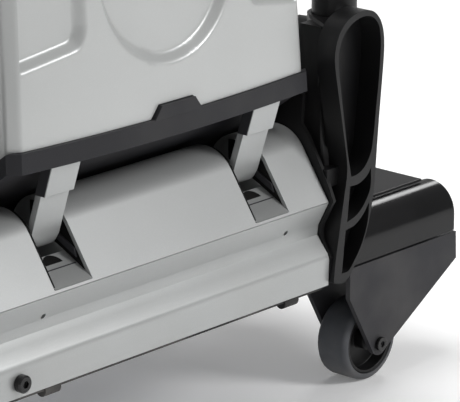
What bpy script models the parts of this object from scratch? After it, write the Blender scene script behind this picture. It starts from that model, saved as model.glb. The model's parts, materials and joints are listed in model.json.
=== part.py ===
"""Upright twin-brush carpet cleaning machine.

A brush deck hangs between two side brackets, under a body with a trough-shaped underside.
Four fold-away transport wheels carry the machine; each folds about the pivot inside its hood.

Frame: +Z up, floor at Z = 0, the operator's side faces -Y, the length of the deck runs along X.
Shapes are modelled in a working frame whose zero is the middle of the deck in X, the deck's
front lip in Y and the deck's underside in Z. One empty carries that frame to the floor frame.
Pieces at the right end and at the front are made first, the others are their mirror images.
"""

import math

import bmesh
import bpy
from mathutils import Matrix, Vector

MM = 0.001

# ---------------------------------------------------------------- driving dimensions
gap = 0.3 * MM                      # between pieces that touch
running_gap = 1.0 * MM              # between pieces that turn past each other

deck_length = 447 * MM
deck_depth = 370 * MM
deck_wall = 2.5 * MM
lip_height = 76 * MM                # top of the rail, where the brush covers start
hump_top = 137 * MM
hump_top_y = 60 * MM
hump_radius = 36 * MM
deck_valley = 48 * MM               # top of the deck between the two brush covers
well_spread = 121.2 * MM            # middle of the body to the middle of each strap well
well_width = 43 * MM
drive_length = 33 * MM              # drive cover at the left end of the deck

rail_wall = 3 * MM
skirt_depth = 3 * MM
foot_radius = 6 * MM

brush_radius = 40 * MM
brush_core = 22 * MM
brush_reach = 15 * MM               # below the deck's underside
shaft_radius = 8 * MM

wheel_radius = 37.5 * MM
wheel_width = 34 * MM
tyre_wall = 6.5 * MM
axle_radius = 4 * MM
bolt_head_radius = 6.5 * MM
bolt_head_height = 4 * MM
wheel_drop = 82.5 * MM              # deck's underside to the wheel's axle
wheel_out = 92 * MM                 # deck's end to the middle of a wheel
fork_wall = 5 * MM
fork_front = 16 * MM                # outer face of the front fork plate, behind the lip
hood_radius = 27.6 * MM
hood_axis_z = 16.8 * MM
hood_wall = 2.6 * MM
hood_inner_out = 38.5 * MM          # deck's end to the two ends of a hood
hood_outer_out = 198.5 * MM
pivot_radius = 6 * MM
fork_barrel = 10 * MM
shelf_thickness = 2.5 * MM

body_middle = 30 * MM
body_half_width = 171 * MM
body_bow = 10 * MM                  # how far the front bulges at its middle
body_bevel = 9 * MM
body_taper = 0.031                  # each side leans in
body_lean = 0.057                   # the front leans back as it rises
body_back_slope = 0.52              # the back leans forward as it rises
body_front = -2 * MM                # front of the trim, from the deck's lip
body_rear = 2 * MM                  # back of the trim, beyond the deck's back lip
plan_height = 200 * MM              # height at which the body's plan is stated
body_wall = 3.5 * MM
cover_inset = 3 * MM                # the cover stands behind the trim's face
housing_inset = 1 * MM
trim_height = 17.2 * MM
trim_bottom = 180 * MM
trim_ledge = 11 * MM
belly_slope = 0.727                 # each side of the trough-shaped underside
belly_flat = 24.4 * MM              # least level part in the middle of it
belly_lowest = 66 * MM
cover_top = 400 * MM
housing_height = 40 * MM
tank_height = 150 * MM
tank_inset = 14 * MM
notch_width = 40 * MM
notch_flank = 8.5 * MM
notch_rise = 10.5 * MM
oval_radius = 79 * MM
oval_z = 319 * MM

strap_width = 33 * MM
upper_strap_thickness = 4 * MM
lower_strap_thickness = 6.4 * MM
strap_tilt = math.radians(18)
strap_foot_z = 105 * MM
strap_joint_z = 152 * MM
pin_radius = 4.2 * MM

tube_radius = 20 * MM
tube_wall = 2 * MM
tube_out = 52.1 * MM                # deck's end to the handle tube's axis
tube_y = 40 * MM
socket_wall = 4 * MM
socket_bottom = 108 * MM
column_top = 231 * MM
knob_z = 205 * MM
knob_radius = 17 * MM
stud_radius = 4 * MM
bracket_front = -6 * MM
bracket_depth = 21 * MM
pocket_depth = 17 * MM
tall_pocket_depth = 22 * MM
flange_wall = 3.5 * MM
frame_wall = 5.5 * MM
handle_bend_z = 720 * MM
handle_top_z = 872 * MM
handle_reach = 150 * MM             # from the tubes towards the operator
grip_length = 120 * MM
grip_wall = 3.5 * MM

gear_radius = 20 * MM
gear_teeth = 20
pulley_radius = 13 * MM
belt_thickness = 2.5 * MM
belt_width = 8 * MM
motor_share = 0.092                 # of the deck's depth, for the motor's radius

# ---------------------------------------------------------------- derived places
half = deck_length / 2
back = deck_depth
wheel_x = half + wheel_out
hood_inner_x = half + hood_inner_out
hood_outer_x = half + hood_outer_out
tube_x = half + tube_out
motor_radius = motor_share * deck_depth
belly_edge = 5 * MM + trim_ledge
belly_drop = min(trim_bottom - belly_lowest, ((back - belly_flat) / 2 - belly_edge) * belly_slope)
belly_bottom = trim_bottom - belly_drop
floor_below = wheel_drop + wheel_radius
brush_y = hump_top_y
brush_z = brush_radius - brush_reach
fork_back = fork_front + 2 * hood_radius
hood_y = fork_front + hood_radius
axle_z = -wheel_drop
deck_left = -half + drive_length
handle_front = tube_y - handle_reach - tube_radius - grip_wall
machine_back = back + body_rear
middle_y = (handle_front + machine_back) / 2

# ---------------------------------------------------------------- scene and collections
for old in list(bpy.data.objects):
    bpy.data.objects.remove(old, do_unlink=True)

parts = bpy.data.collections.new("carpet_cleaner_machine")
cutters = bpy.data.collections.new("cutters")
for c in (parts, cutters):
    bpy.context.scene.collection.children.link(c)

origin = bpy.data.objects.new("working_frame", None)
origin.location = (0, -middle_y, floor_below)
parts.objects.link(origin)


def material(name, colour, roughness, metallic=0.0):
    m = bpy.data.materials.get(name)
    if m is None:
        m = bpy.data.materials.new(name)
        m.use_nodes = True
        s = m.node_tree.nodes["Principled BSDF"]
        s.inputs["Base Color"].default_value = (*colour, 1)
        s.inputs["Roughness"].default_value = roughness
        s.inputs["Metallic"].default_value = metallic
    return m


silver = material("silver_cover", (0.60, 0.61, 0.62), 0.42)
silver_metal = material("silver_rail", (0.62, 0.63, 0.63), 0.38, 0.3)
charcoal = material("charcoal_trim", (0.035, 0.035, 0.038), 0.55)
black = material("black_moulding", (0.018, 0.018, 0.020), 0.5)
gloss = material("gloss_black", (0.012, 0.012, 0.013), 0.18)
fork_grey = material("fork_paint", (0.045, 0.045, 0.048), 0.6)
tread = material("grey_rubber", (0.13, 0.14, 0.15), 0.65)
soft_black = material("black_rubber", (0.02, 0.02, 0.02), 0.8)
steel = material("steel", (0.45, 0.45, 0.46), 0.3, 1.0)
bristle = material("bristles", (0.10, 0.16, 0.30), 0.8)
tank_plastic = material("tank_plastic", (0.55, 0.60, 0.64), 0.3)


# ---------------------------------------------------------------- modelling helpers
def put(name, mesh, mat):
    """Links a mesh as an object of the working frame; without a material it is a cutter or a guide."""
    o = bpy.data.objects.new(name, mesh)
    o.parent = origin
    if mat is None:
        cutters.objects.link(o)
        o.hide_render = True
        o.display_type = "WIRE"
    else:
        parts.objects.link(o)
        mesh.materials.append(mat)
    return o


def finish(bm, name, mat, smooth=True, weld=True):
    """Closes a bmesh into an object with outward faces."""
    if weld:
        bmesh.ops.remove_doubles(bm, verts=bm.verts, dist=0.00001)
    bmesh.ops.recalc_face_normals(bm, faces=bm.faces)
    mesh = bpy.data.meshes.new(name)
    bm.to_mesh(mesh)
    bm.free()
    if smooth:
        mesh.shade_smooth()
        mesh.set_sharp_from_angle(angle=math.radians(35))
    return put(name, mesh, mat)


def box(name, low, high, mat=None):
    bm = bmesh.new()
    bmesh.ops.create_cube(bm, size=1)
    size = Vector(high) - Vector(low)
    middle = (Vector(high) + Vector(low)) / 2
    bmesh.ops.transform(bm, matrix=Matrix.Translation(middle) @ Matrix.Diagonal((*size, 1)), verts=bm.verts)
    return finish(bm, name, mat, smooth=False)


AXIS_TURN = {
    "x": Matrix(((0, 0, 1, 0), (1, 0, 0, 0), (0, 1, 0, 0), (0, 0, 0, 1))),
    "y": Matrix(((1, 0, 0, 0), (0, 0, 1, 0), (0, 1, 0, 0), (0, 0, 0, 1))),
    "z": Matrix.Identity(4),
}


def rod(name, axis, centre, radius, start, end, mat=None, sides=32):
    """A cylinder along x, y or z; centre gives the two other coordinates in order."""
    bm = bmesh.new()
    size = {"radius1": radius, "radius2": radius, "depth": end - start}
    bmesh.ops.create_cone(bm, cap_ends=True, segments=sides, **size)
    lift = Matrix.Translation((centre[0], centre[1], (start + end) / 2))
    bmesh.ops.transform(bm, matrix=AXIS_TURN[axis] @ lift, verts=bm.verts)
    return finish(bm, name, mat)


def plate(name, outline, axis, start, end, mat=None):
    """A flat closed outline given a thickness along x (outline in y, z), y (x, z) or z (x, y)."""
    curve = bpy.data.curves.new(name, "CURVE")
    curve.dimensions = "2D"
    curve.fill_mode = "BOTH"
    curve.extrude = (end - start) / 2
    line = curve.splines.new("POLY")
    line.points.add(len(outline) - 1)
    for point, (u, v) in zip(line.points, outline):
        point.co = (u, v, 0, 1)
    line.use_cyclic_u = True
    flat = bpy.data.objects.new(name + "_outline", curve)
    cutters.objects.link(flat)
    bpy.context.view_layer.update()
    seen = flat.evaluated_get(bpy.context.evaluated_depsgraph_get())
    mesh = bpy.data.meshes.new_from_object(seen)
    bm = bmesh.new()
    bm.from_mesh(mesh)
    bpy.data.objects.remove(flat, do_unlink=True)
    bpy.data.meshes.remove(mesh)
    lift = Matrix.Translation((0, 0, (start + end) / 2))
    bmesh.ops.transform(bm, matrix=AXIS_TURN[axis] @ lift, verts=bm.verts)
    return finish(bm, name, mat)


def turned(name, profile, axis, centre, mat=None, steps=48):
    """A profile of (radius, along) points turned about an axis; it closes on itself or on the axis."""
    mesh = bpy.data.meshes.new(name)
    points = [(r, 0, a) for r, a in profile]
    edges = [(i, (i + 1) % len(points)) for i in range(len(points))]
    if profile[0][0] == 0 and profile[-1][0] == 0:
        edges.pop()
    mesh.from_pydata(points, edges, [])
    o = put(name, mesh, None)
    screw = o.modifiers.new("turn", "SCREW")
    screw.steps = steps
    screw.render_steps = steps
    screw.use_merge_vertices = True
    screw.merge_threshold = 0.00001
    screw.use_smooth_shade = True
    shape = baked(o)
    bpy.data.objects.remove(o, do_unlink=True)
    bm = bmesh.new()
    bm.from_mesh(shape)
    lift = Matrix.Translation((centre[0], centre[1], 0))
    bmesh.ops.transform(bm, matrix=AXIS_TURN[axis] @ lift, verts=bm.verts)
    return finish(bm, name, mat)


def baked(o):
    """The object's mesh with its modifiers carried out."""
    bpy.context.view_layer.update()
    seen = o.evaluated_get(bpy.context.evaluated_depsgraph_get())
    return bpy.data.meshes.new_from_object(seen)


def combine(o, others, operation="DIFFERENCE"):
    """Cuts or joins pieces with an exact Boolean and keeps the result as plain mesh."""
    for other in others:
        mod = o.modifiers.new(operation.lower(), "BOOLEAN")
        mod.operation = operation
        mod.solver = "EXACT"
        mod.object = other
    shape = baked(o)
    o.modifiers.clear()
    old = o.data
    o.data = shape
    bpy.data.meshes.remove(old)
    for other in others:
        bpy.data.objects.remove(other, do_unlink=True)
    o.data.shade_smooth()
    o.data.set_sharp_from_angle(angle=math.radians(35))
    return o


def mirrored(name, source, across_x=False, across_y=False):
    """The mirror image of a piece at the other end of the deck, the other side of it, or both."""
    bm = bmesh.new()
    bm.from_mesh(source.data)
    shift = Matrix.Translation(source.location)
    flip = Matrix.Diagonal((-1 if across_x else 1, -1 if across_y else 1, 1, 1))
    if across_y:
        flip = Matrix.Translation((0, back, 0)) @ flip
    bmesh.ops.transform(bm, matrix=flip @ shift, verts=bm.verts)
    return finish(bm, name, source.data.materials[0], weld=False)


def pivot(o, point):
    """Moves the object's origin to a point of its joint's axis and leaves the shape in place."""
    o.data.transform(Matrix.Translation(o.location - Vector(point)))
    o.location = point
    return o


def soften(o, width, segments=2, angle=35):
    """Rounds the edges of a piece that is already closed."""
    mod = o.modifiers.new("soften", "BEVEL")
    mod.width = width
    mod.segments = segments
    mod.limit_method = "ANGLE"
    mod.angle_limit = math.radians(angle)
    mod.harden_normals = False
    shape = baked(o)
    o.modifiers.clear()
    o.data = shape
    return o


def arc(cx, cy, radius, start, end, count):
    """Points on an arc, angles in degrees counted from +u towards +v."""
    turns = [math.radians(start + (end - start) * i / (count - 1)) for i in range(count)]
    return [(cx + radius * math.cos(t), cy + radius * math.sin(t)) for t in turns]


def offset(line, distance):
    """An open line moved sideways to its right, with mitred corners."""
    moved = []
    for i, p in enumerate(line):
        before = Vector(p) - Vector(line[i - 1]) if i else None
        after = Vector(line[i + 1]) - Vector(p) if i + 1 < len(line) else None
        a = (before or after).normalized()
        b = (after or before).normalized()
        na, nb = Vector((a.y, -a.x)), Vector((b.y, -b.x))
        way = (na + nb).normalized()
        moved.append(tuple(Vector(p) + way * (distance / max(way.dot(na), 0.3))))
    return moved


def flipped(line):
    """The same line seen from the back of the machine."""
    return [(back - y, z) for y, z in reversed(line)]


# ---------------------------------------------------------------- brush deck
# Section of the brush covers: up from the lip, over the front brush, down to the valley.
def hump_line():
    angle = math.radians(56)
    cz = hump_top - hump_radius
    rise = arc(hump_top_y, cz, hump_radius, 90 + math.degrees(angle), 30, 14)
    drop = rise[-1]
    foot_y = drop[0] + (drop[1] - deck_valley) / math.tan(math.radians(60))
    return [(0, lip_height + gap)] + rise + [(foot_y, deck_valley)]


skin = hump_line() + flipped(hump_line())
well_floor = lip_height + gap + deck_wall
wells = [body_middle - well_spread, body_middle + well_spread]
ledge = 28 * MM                     # width of the deck's edge that lies on each rail
ledge_bottom = deck_valley - 20 * MM
solid = skin + [(back - ledge, skin[0][1]), (back - ledge, ledge_bottom), (ledge, ledge_bottom)]
solid.append((ledge, skin[0][1]))
deck_shell = plate("deck_shell", solid, "x", deck_left, half, silver)
inner_top = offset(skin, deck_wall)
spans = [deck_left - gap] + [w + s * well_width / 2 for w in wells for s in (-1, 1)] + [half + gap]
hollows = []
for i in range(0, len(spans), 2):
    start = spans[i] + (deck_wall if i else 0)
    end = spans[i + 1] - (deck_wall if i + 2 < len(spans) else 0)
    shape = [(inner_top[0][0], 0)] + inner_top + [(inner_top[-1][0], 0)]
    hollows.append(plate("hollow", shape, "x", start, end))
# Each strap well opens the front cover down to a floor just above the rail.
well_back = hump_top_y + hump_radius
rear_shape = [p for p in inner_top if p[0] > well_back + deck_wall]
rear_shape = [(back / 2, 0)] + rear_shape + [(inner_top[-1][0], 0)]
for w in wells:
    side = well_width / 2
    opened = box("well", (w - side, -gap, well_floor), (w + side, well_back, hump_top + gap))
    ends = (w - side - deck_wall - gap, w + side + deck_wall + gap)
    under = plate("under", rear_shape, "x", *ends)
    brush_room = box("brush_room", (ends[0], MM, 0), (ends[1], well_back + 2 * deck_wall, skin[0][1]))
    hollows += [opened, under, brush_room]
combine(deck_shell, hollows)

# Aluminium bumper rail with a waist; its top flange carries the brush covers.
rail_face = [
    (25 * MM, lip_height), (0, lip_height), (11.9 * MM, 53 * MM), (12.8 * MM, 44 * MM),
    (8.4 * MM, 38 * MM), (1.1 * MM, 29.4 * MM), (-1.1 * MM, 24.3 * MM), (-0.4 * MM, 0), (12 * MM, 0),
]
rail_back = offset(rail_face, -rail_wall)
front_rail = plate("front_rail", rail_face + rail_back[::-1], "x", -half, half, silver_metal)
holes = [rod("hole", "y", (x, 56.5 * MM), 2.4 * MM, -5 * MM, 30 * MM, sides=16)
         for x in (body_middle - 148 * MM, body_middle + 148 * MM)]
screw_x = -156 * MM
screw_z = 12.6 * MM
holes.append(rod("hole", "y", (screw_x, screw_z), 4.3 * MM, -5 * MM, 30 * MM, sides=16))
combine(front_rail, holes)
rear_rail = mirrored("rear_rail", front_rail, across_y=True)

rail_screw = rod("rail_screw", "y", (screw_x, screw_z), 7.5 * MM, -7 * MM, -1.1 * MM - gap, gloss, sides=24)
shank = rod("shank", "y", (screw_x, screw_z), 4 * MM, -2 * MM, 10 * MM, sides=16)
combine(rail_screw, [shank], "UNION")
socket = rod("hex", "y", (screw_x, screw_z), 3.2 * MM, -9 * MM, -3.5 * MM, sides=6)
combine(rail_screw, [socket])

# Rubber skirt under the rail, with moulded feet that keep the deck off the floor in storage.
skirt_end = half - 6 * MM
front_skirt = box("front_skirt", (-skirt_end, 1.5 * MM, -skirt_depth), (skirt_end, 10 * MM, -gap), soft_black)
feet = [rod("foot", "x", (5.7 * MM, -skirt_depth), foot_radius, x - 9 * MM, x + 9 * MM, sides=20)
        for x in (body_middle - 148 * MM, body_middle + 145 * MM)]
for f in feet:
    combine(f, [box("trim", (-half, -20 * MM, -gap), (half, 40 * MM, 20 * MM))])
combine(front_skirt, feet, "UNION")
rear_skirt = mirrored("rear_skirt", front_skirt, across_y=True)


# End plates close the deck and carry the brush shafts.
def end_plate(name, start):
    under_skin = offset(skin, deck_wall + gap)
    edge = ledge + gap
    rise = (under_skin[1][1] - under_skin[0][1]) / (under_skin[1][0] - under_skin[0][0])
    edge_z = under_skin[0][1] + rise * (edge - under_skin[0][0])
    room = [(edge, gap), (edge, edge_z)] + under_skin[1:-1] + [(back - edge, edge_z), (back - edge, gap)]
    o = plate(name, room, "x", start, start + 4 * MM, steel)
    bores = [rod("bore", "x", (y, brush_z), shaft_radius + gap, start - MM, start + 5 * MM)
             for y in (brush_y, back - brush_y)]
    return combine(o, bores)


deck_end_right = end_plate("deck_end_right", half - 7 * MM)
deck_end_left = end_plate("deck_end_left", deck_left + 2 * MM)

# ---------------------------------------------------------------- brushes and their drive
brush_start = deck_left + 10 * MM
brush_end = half - 12 * MM
pulley_x = deck_left - 14 * MM


def brush(name):
    collar = brush_core
    profile = [
        (0, pulley_x - 3 * MM), (shaft_radius, pulley_x - 3 * MM), (pulley_radius, pulley_x),
        (pulley_radius, pulley_x + belt_width + 2 * MM), (shaft_radius, pulley_x + belt_width + 2 * MM),
        (shaft_radius, brush_start), (collar, brush_start), (collar, brush_start + 5 * MM),
        (brush_radius, brush_start + 5 * MM), (brush_radius, brush_end - 5 * MM),
        (collar, brush_end - 5 * MM), (collar, brush_end), (shaft_radius, brush_end),
        (shaft_radius, half - 2 * MM), (0, half - 2 * MM),
    ]
    return turned(name, profile, "x", (brush_y, brush_z), bristle, 28)


front_brush = pivot(brush("front_brush"), (0, brush_y, brush_z))
rear_brush = pivot(mirrored("rear_brush", front_brush, across_y=True), (0, back - brush_y, brush_z))

gear_y = back / 2 - gear_radius
gear_z = 98 * MM


def drive_gear(name, start_angle):
    """Toothed wheel with its belt pulley, turning with the motor or against it."""
    tooth = 2 * math.pi / gear_teeth
    depth = 1.7 * MM
    outline = []
    for i in range(gear_teeth):
        for part, radius in ((-0.30, -depth), (-0.15, depth), (0.15, depth), (0.30, -depth)):
            a = start_angle + (i + part) * tooth
            r = gear_radius + radius - 0.25 * MM
            outline.append((gear_y + r * math.cos(a), gear_z + r * math.sin(a)))
    wheel = plate(name, outline, "x", deck_left - 27 * MM, deck_left - 18 * MM, steel)
    pulley = rod("pulley", "x", (gear_y, gear_z), pulley_radius, deck_left - 19 * MM,
                 pulley_x + belt_width + 2 * MM)
    shaft = rod("shaft", "x", (gear_y, gear_z), 5 * MM, deck_left - 29 * MM, deck_left - 3 * MM, sides=24)
    return combine(wheel, [pulley, shaft], "UNION")


drive_gear_front = pivot(drive_gear("drive_gear_front", 0), (deck_left - 20 * MM, gear_y, gear_z))
second = drive_gear("second_gear", math.pi / gear_teeth)
drive_gear_rear = mirrored("drive_gear_rear", second, across_y=True)
bpy.data.objects.remove(second, do_unlink=True)
pivot(drive_gear_rear, (deck_left - 20 * MM, back - gear_y, gear_z))


def drive_belt(name):
    """Belt round the gear's pulley and the brush's pulley, as a closed band."""
    dy, dz = gear_y - brush_y, gear_z - brush_z
    lean = math.degrees(math.atan2(dz, dy))

    def loop(radius):
        low = arc(brush_y, brush_z, radius, lean + 90, lean + 270, 15)
        high = arc(gear_y, gear_z, radius, lean - 90, lean + 90, 15)
        return low + high

    inner = pulley_radius + gap
    belt_start = pulley_x + MM
    band = plate(name, loop(inner + belt_thickness), "x", belt_start, belt_start + belt_width, soft_black)
    hole = plate("loop", loop(inner), "x", pulley_x - MM, pulley_x + 3 * MM + belt_width)
    return combine(band, [hole])


drive_belt_front = drive_belt("drive_belt_front")
drive_belt_rear = mirrored("drive_belt_rear", drive_belt_front, across_y=True)

cover_line = [p for p in hump_line() if p[0] <= hump_top_y]
cover_line = cover_line + flipped(cover_line)
drive_cover = plate("drive_cover", cover_line, "x", -half, deck_left - gap, silver)
inner_line = offset(cover_line, deck_wall)
inner_line = [(inner_line[0][0], 0)] + inner_line + [(inner_line[-1][0], 0)]
combine(drive_cover, [plate("room", inner_line, "x", -half + deck_wall, deck_left + MM)])

drive_motor = rod("drive_motor", "x", (gear_y, gear_z + 8 * MM), motor_radius, deck_left + 2.5 * MM,
                  deck_left + 29 * MM, black, sides=32)
# The motor stands on the deck's skin behind the front brush cover.
motor_boss = rod("boss", "x", (gear_y, gear_z + 8 * MM), 15 * MM, deck_left + 28 * MM, deck_left + 32 * MM)
combine(drive_motor, [motor_boss], "UNION")


# ---------------------------------------------------------------- transport wheels
# Modelled at the right front; the fork turns about the pivot inside the hood.
fork_end = hood_outer_x + 3 * MM


def wheel_outline():
    """Side view of a fork plate: wide at the hood, tapering to a round tip at the axle."""
    top = -1 * MM
    inner = hood_inner_x + 11 * MM
    tip = arc(wheel_x, axle_z, 11 * MM, 205, 322, 9)
    return [(fork_end, top), (inner, top), (inner, -30 * MM)] + tip + [(fork_end + MM, -27 * MM)]


def make_fork():
    side = wheel_outline()
    near = plate("wheel_fork_front_right", side, "y", fork_front, fork_front + fork_wall, fork_grey)
    far = plate("far", side, "y", fork_back - fork_wall, fork_back)
    left = hood_inner_x + 11 * MM
    right = fork_end
    web = box("web", (left, fork_front + MM, -7 * MM), (right, fork_back - MM, -MM))
    rib = box("rib", (left, hood_y - 4 * MM, -2 * MM), (right - 8 * MM, hood_y + 4 * MM, hood_axis_z))
    barrel = rod("barrel", "x", (hood_y, hood_axis_z), fork_barrel, left, right - 8 * MM)
    combine(near, [far, web, rib, barrel], "UNION")
    bore = rod("bore", "x", (hood_y, hood_axis_z), pivot_radius + gap, left - MM, right)
    axle = rod("axle", "y", (wheel_x, axle_z), axle_radius + gap, 0, back / 3, sides=24)
    return combine(near, [bore, axle])


def make_hood():
    """Bent cover over the pivot: open towards the middle of the machine so the fork can fold."""
    end_angle = 62
    outer = [(hood_y - hood_radius, MM)] + arc(hood_y, hood_axis_z, hood_radius, 180, end_angle, 14)
    inner = arc(hood_y, hood_axis_z, hood_radius - hood_wall, end_angle, 180, 14)
    inner = inner + [(hood_y - hood_radius + hood_wall, MM)]
    hood = plate("wheel_hood_front_right", outer + inner, "x", hood_inner_x, hood_outer_x, gloss)
    reach = hood_radius - MM
    cap = arc(hood_y, hood_axis_z, reach, 180, end_angle, 10) + arc(hood_y, hood_axis_z, 9 * MM, 20, -160, 9)
    caps = [plate("cap", cap, "x", a, b)
            for a, b in ((hood_inner_x, hood_inner_x + 5 * MM), (hood_outer_x - 4.5 * MM, hood_outer_x - MM))]
    pin = rod("pin", "x", (hood_y, hood_axis_z), pivot_radius, hood_inner_x + MM, hood_outer_x - 2 * MM)
    return combine(hood, caps + [pin], "UNION")


def make_tyre():
    w = wheel_width / 2
    inner = wheel_radius - tyre_wall
    crown = 5 * MM
    profile = [(inner, hood_y - w), (wheel_radius - crown, hood_y - w)]
    profile += [(wheel_radius - crown + r, hood_y - w + crown + a) for r, a in arc(0, 0, crown, -60, 0, 3)]
    profile += [(wheel_radius - crown + r, hood_y + w - crown + a) for r, a in arc(0, 0, crown, 0, 60, 3)]
    profile += [(wheel_radius - crown, hood_y + w), (inner, hood_y + w)]
    return turned("wheel_tyre_front_right", profile[::-1], "y", (wheel_x, axle_z), tread, 36)


def make_hub():
    w = wheel_width / 2
    rim = wheel_radius - tyre_wall - gap
    dish = 13 * MM
    profile = [
        (axle_radius + gap, hood_y - w + 2 * MM), (9 * MM, hood_y - w + 2 * MM), (9 * MM, hood_y - w + dish),
        (rim - 3 * MM, hood_y - w + dish), (rim - 3 * MM, hood_y - w + MM), (rim, hood_y - w + MM),
        (rim, hood_y + w - MM), (rim - 3 * MM, hood_y + w - MM), (rim - 3 * MM, hood_y + w - dish),
        (9 * MM, hood_y + w - dish), (9 * MM, hood_y + w - 2 * MM), (axle_radius + gap, hood_y + w - 2 * MM),
    ]
    return turned("wheel_hub_front_right", profile[::-1], "y", (wheel_x, axle_z), black, 28)


def make_bolt():
    """Socket-head axle screwed into the far fork plate, level with its outer face."""
    head = fork_front - bolt_head_height
    at = (wheel_x, axle_z)
    bolt = rod("axle_bolt_front_right", "y", at, bolt_head_radius, head, fork_front - gap, gloss, sides=24)
    shank = rod("shank", "y", at, axle_radius, head + 3 * MM, fork_back - gap, sides=24)
    combine(bolt, [shank], "UNION")
    hexagon = rod("hex", "y", at, 3 * MM, head - MM, head + 2.5 * MM, sides=6)
    return combine(bolt, [hexagon])


hinge_point = Vector((wheel_x, hood_y, hood_axis_z))
axle_point = Vector((wheel_x, hood_y, axle_z))
unit = [(make_fork(), hinge_point), (make_hood(), None), (make_tyre(), axle_point), (make_hub(), axle_point),
        (make_bolt(), hinge_point)]
for side, sx in (("right", False), ("left", True)):
    for end, sy in (("front", False), ("rear", True)):
        for piece, point in unit:
            if not sx and not sy:
                continue
            copy = mirrored(piece.name.replace("front_right", end + "_" + side), piece, sx, sy)
            if point is not None:
                at = Vector((-point.x if sx else point.x, back - point.y if sy else point.y, point.z))
                pivot(copy, at)
for piece, point in unit:
    if point is not None:
        pivot(piece, point)

# Shelf plate over the folded wheels, from the front hood to the rear hood.
shelf_z = hood_axis_z + hood_radius + 1.2 * MM
shelf_start = hood_y
side_shelf_right = box("side_shelf_right", (half + 11 * MM, shelf_start, shelf_z),
                       (hood_outer_x - 14.4 * MM, back - shelf_start, shelf_z + shelf_thickness), gloss)
side_shelf_left = mirrored("side_shelf_left", side_shelf_right, across_x=True)

# ---------------------------------------------------------------- chassis
# Welded frame: an end plate outside each end of the deck and a cross beam through the body.
frame_x = half + 4.8 * MM
beam_low = 150 * MM
beam_high = 186 * MM
beam_front = back / 2 - 18 * MM
beam_back = back / 2 + 18 * MM
end_front = 24 * MM
end_back = back - end_front
end_outline = [(end_front, -6 * MM), (end_back, -6 * MM), (end_back, 60 * MM),
               (beam_back + 60 * MM, beam_high), (beam_front - 60 * MM, beam_high), (end_front, 60 * MM)]
chassis_frame = plate("chassis_frame", end_outline, "x", frame_x, frame_x + frame_wall, black)
left_end = plate("end", end_outline, "x", -frame_x - frame_wall, -frame_x)
beam = box("beam", (-frame_x - MM, beam_front, beam_low), (frame_x + MM, beam_back, beam_high - MM))
arms = []
for sx in (-1, 1):
    for y in (hood_y, back - hood_y):
        x0, x1 = sorted((sx * (frame_x + MM), sx * (hood_inner_x - gap)))
        low = (x0, y - 11 * MM, hood_axis_z - 11 * MM)
        arms.append(box("arm", low, (x1, y + 11 * MM, hood_axis_z + 11 * MM)))
    x0, x1 = sorted((sx * (frame_x + MM), sx * (frame_x + 24 * MM)))
    arms.append(box("ledge", (x0, shelf_start + 4 * MM, shelf_z - 12 * MM),
                    (x1, back - shelf_start - 4 * MM, shelf_z - gap)))
combine(chassis_frame, [left_end, beam] + arms, "UNION")


# ---------------------------------------------------------------- side brackets with tube sockets
def bracket_outline():
    """Front view of the ribbed panel, from the deck's end: a pointed foot, a waist and a round head."""
    left = [(0.7, 3), (2.5, 20), (12.5, 73), (17.5, 103), (12.5, 135), (4.5, 175), (0, 198), (-0.5, 210)]
    head = [(3.5, 224), (12.5, 235), (25.5, 241), (38.5, 242.5), (51.5, 239), (60.5, 230), (65, 218)]
    right = [(66, 205), (65, 188), (60, 140), (56.5, 98), (53.5, 72), (45.5, 42), (33.5, 19), (20.5, 3),
             (10.5, 0)]
    return [(half + x * MM, z * MM) for x, z in left + head + right]


def pocket_outlines():
    """The tall pocket beside the tube and two triangular pockets under it."""
    tall = [(23, 95.5), (17.5, 120), (9.5, 168), (5, 195), (4.5, 208), (8.5, 221), (16.5, 230),
            (27.5, 235.5), (39.5, 237), (50.5, 234), (58, 226), (61, 214), (61, 200), (59.5, 180),
            (55.5, 148), (53, 128), (49.5, 112), (41.5, 101), (31.5, 96)]
    middle = [(21.5, 87), (33.5, 87), (44.5, 92), (50, 98), (49.5, 80), (42.5, 68), (31.5, 59), (18, 55)]
    low = [(16, 48), (28.5, 50), (39.5, 57), (48, 67), (46.5, 50), (39.5, 32), (28.5, 17), (20.5, 9.5),
           (11.5, 9)]
    return [[(half + x * MM, z * MM) for x, z in line] for line in (tall, middle, low)]


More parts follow.
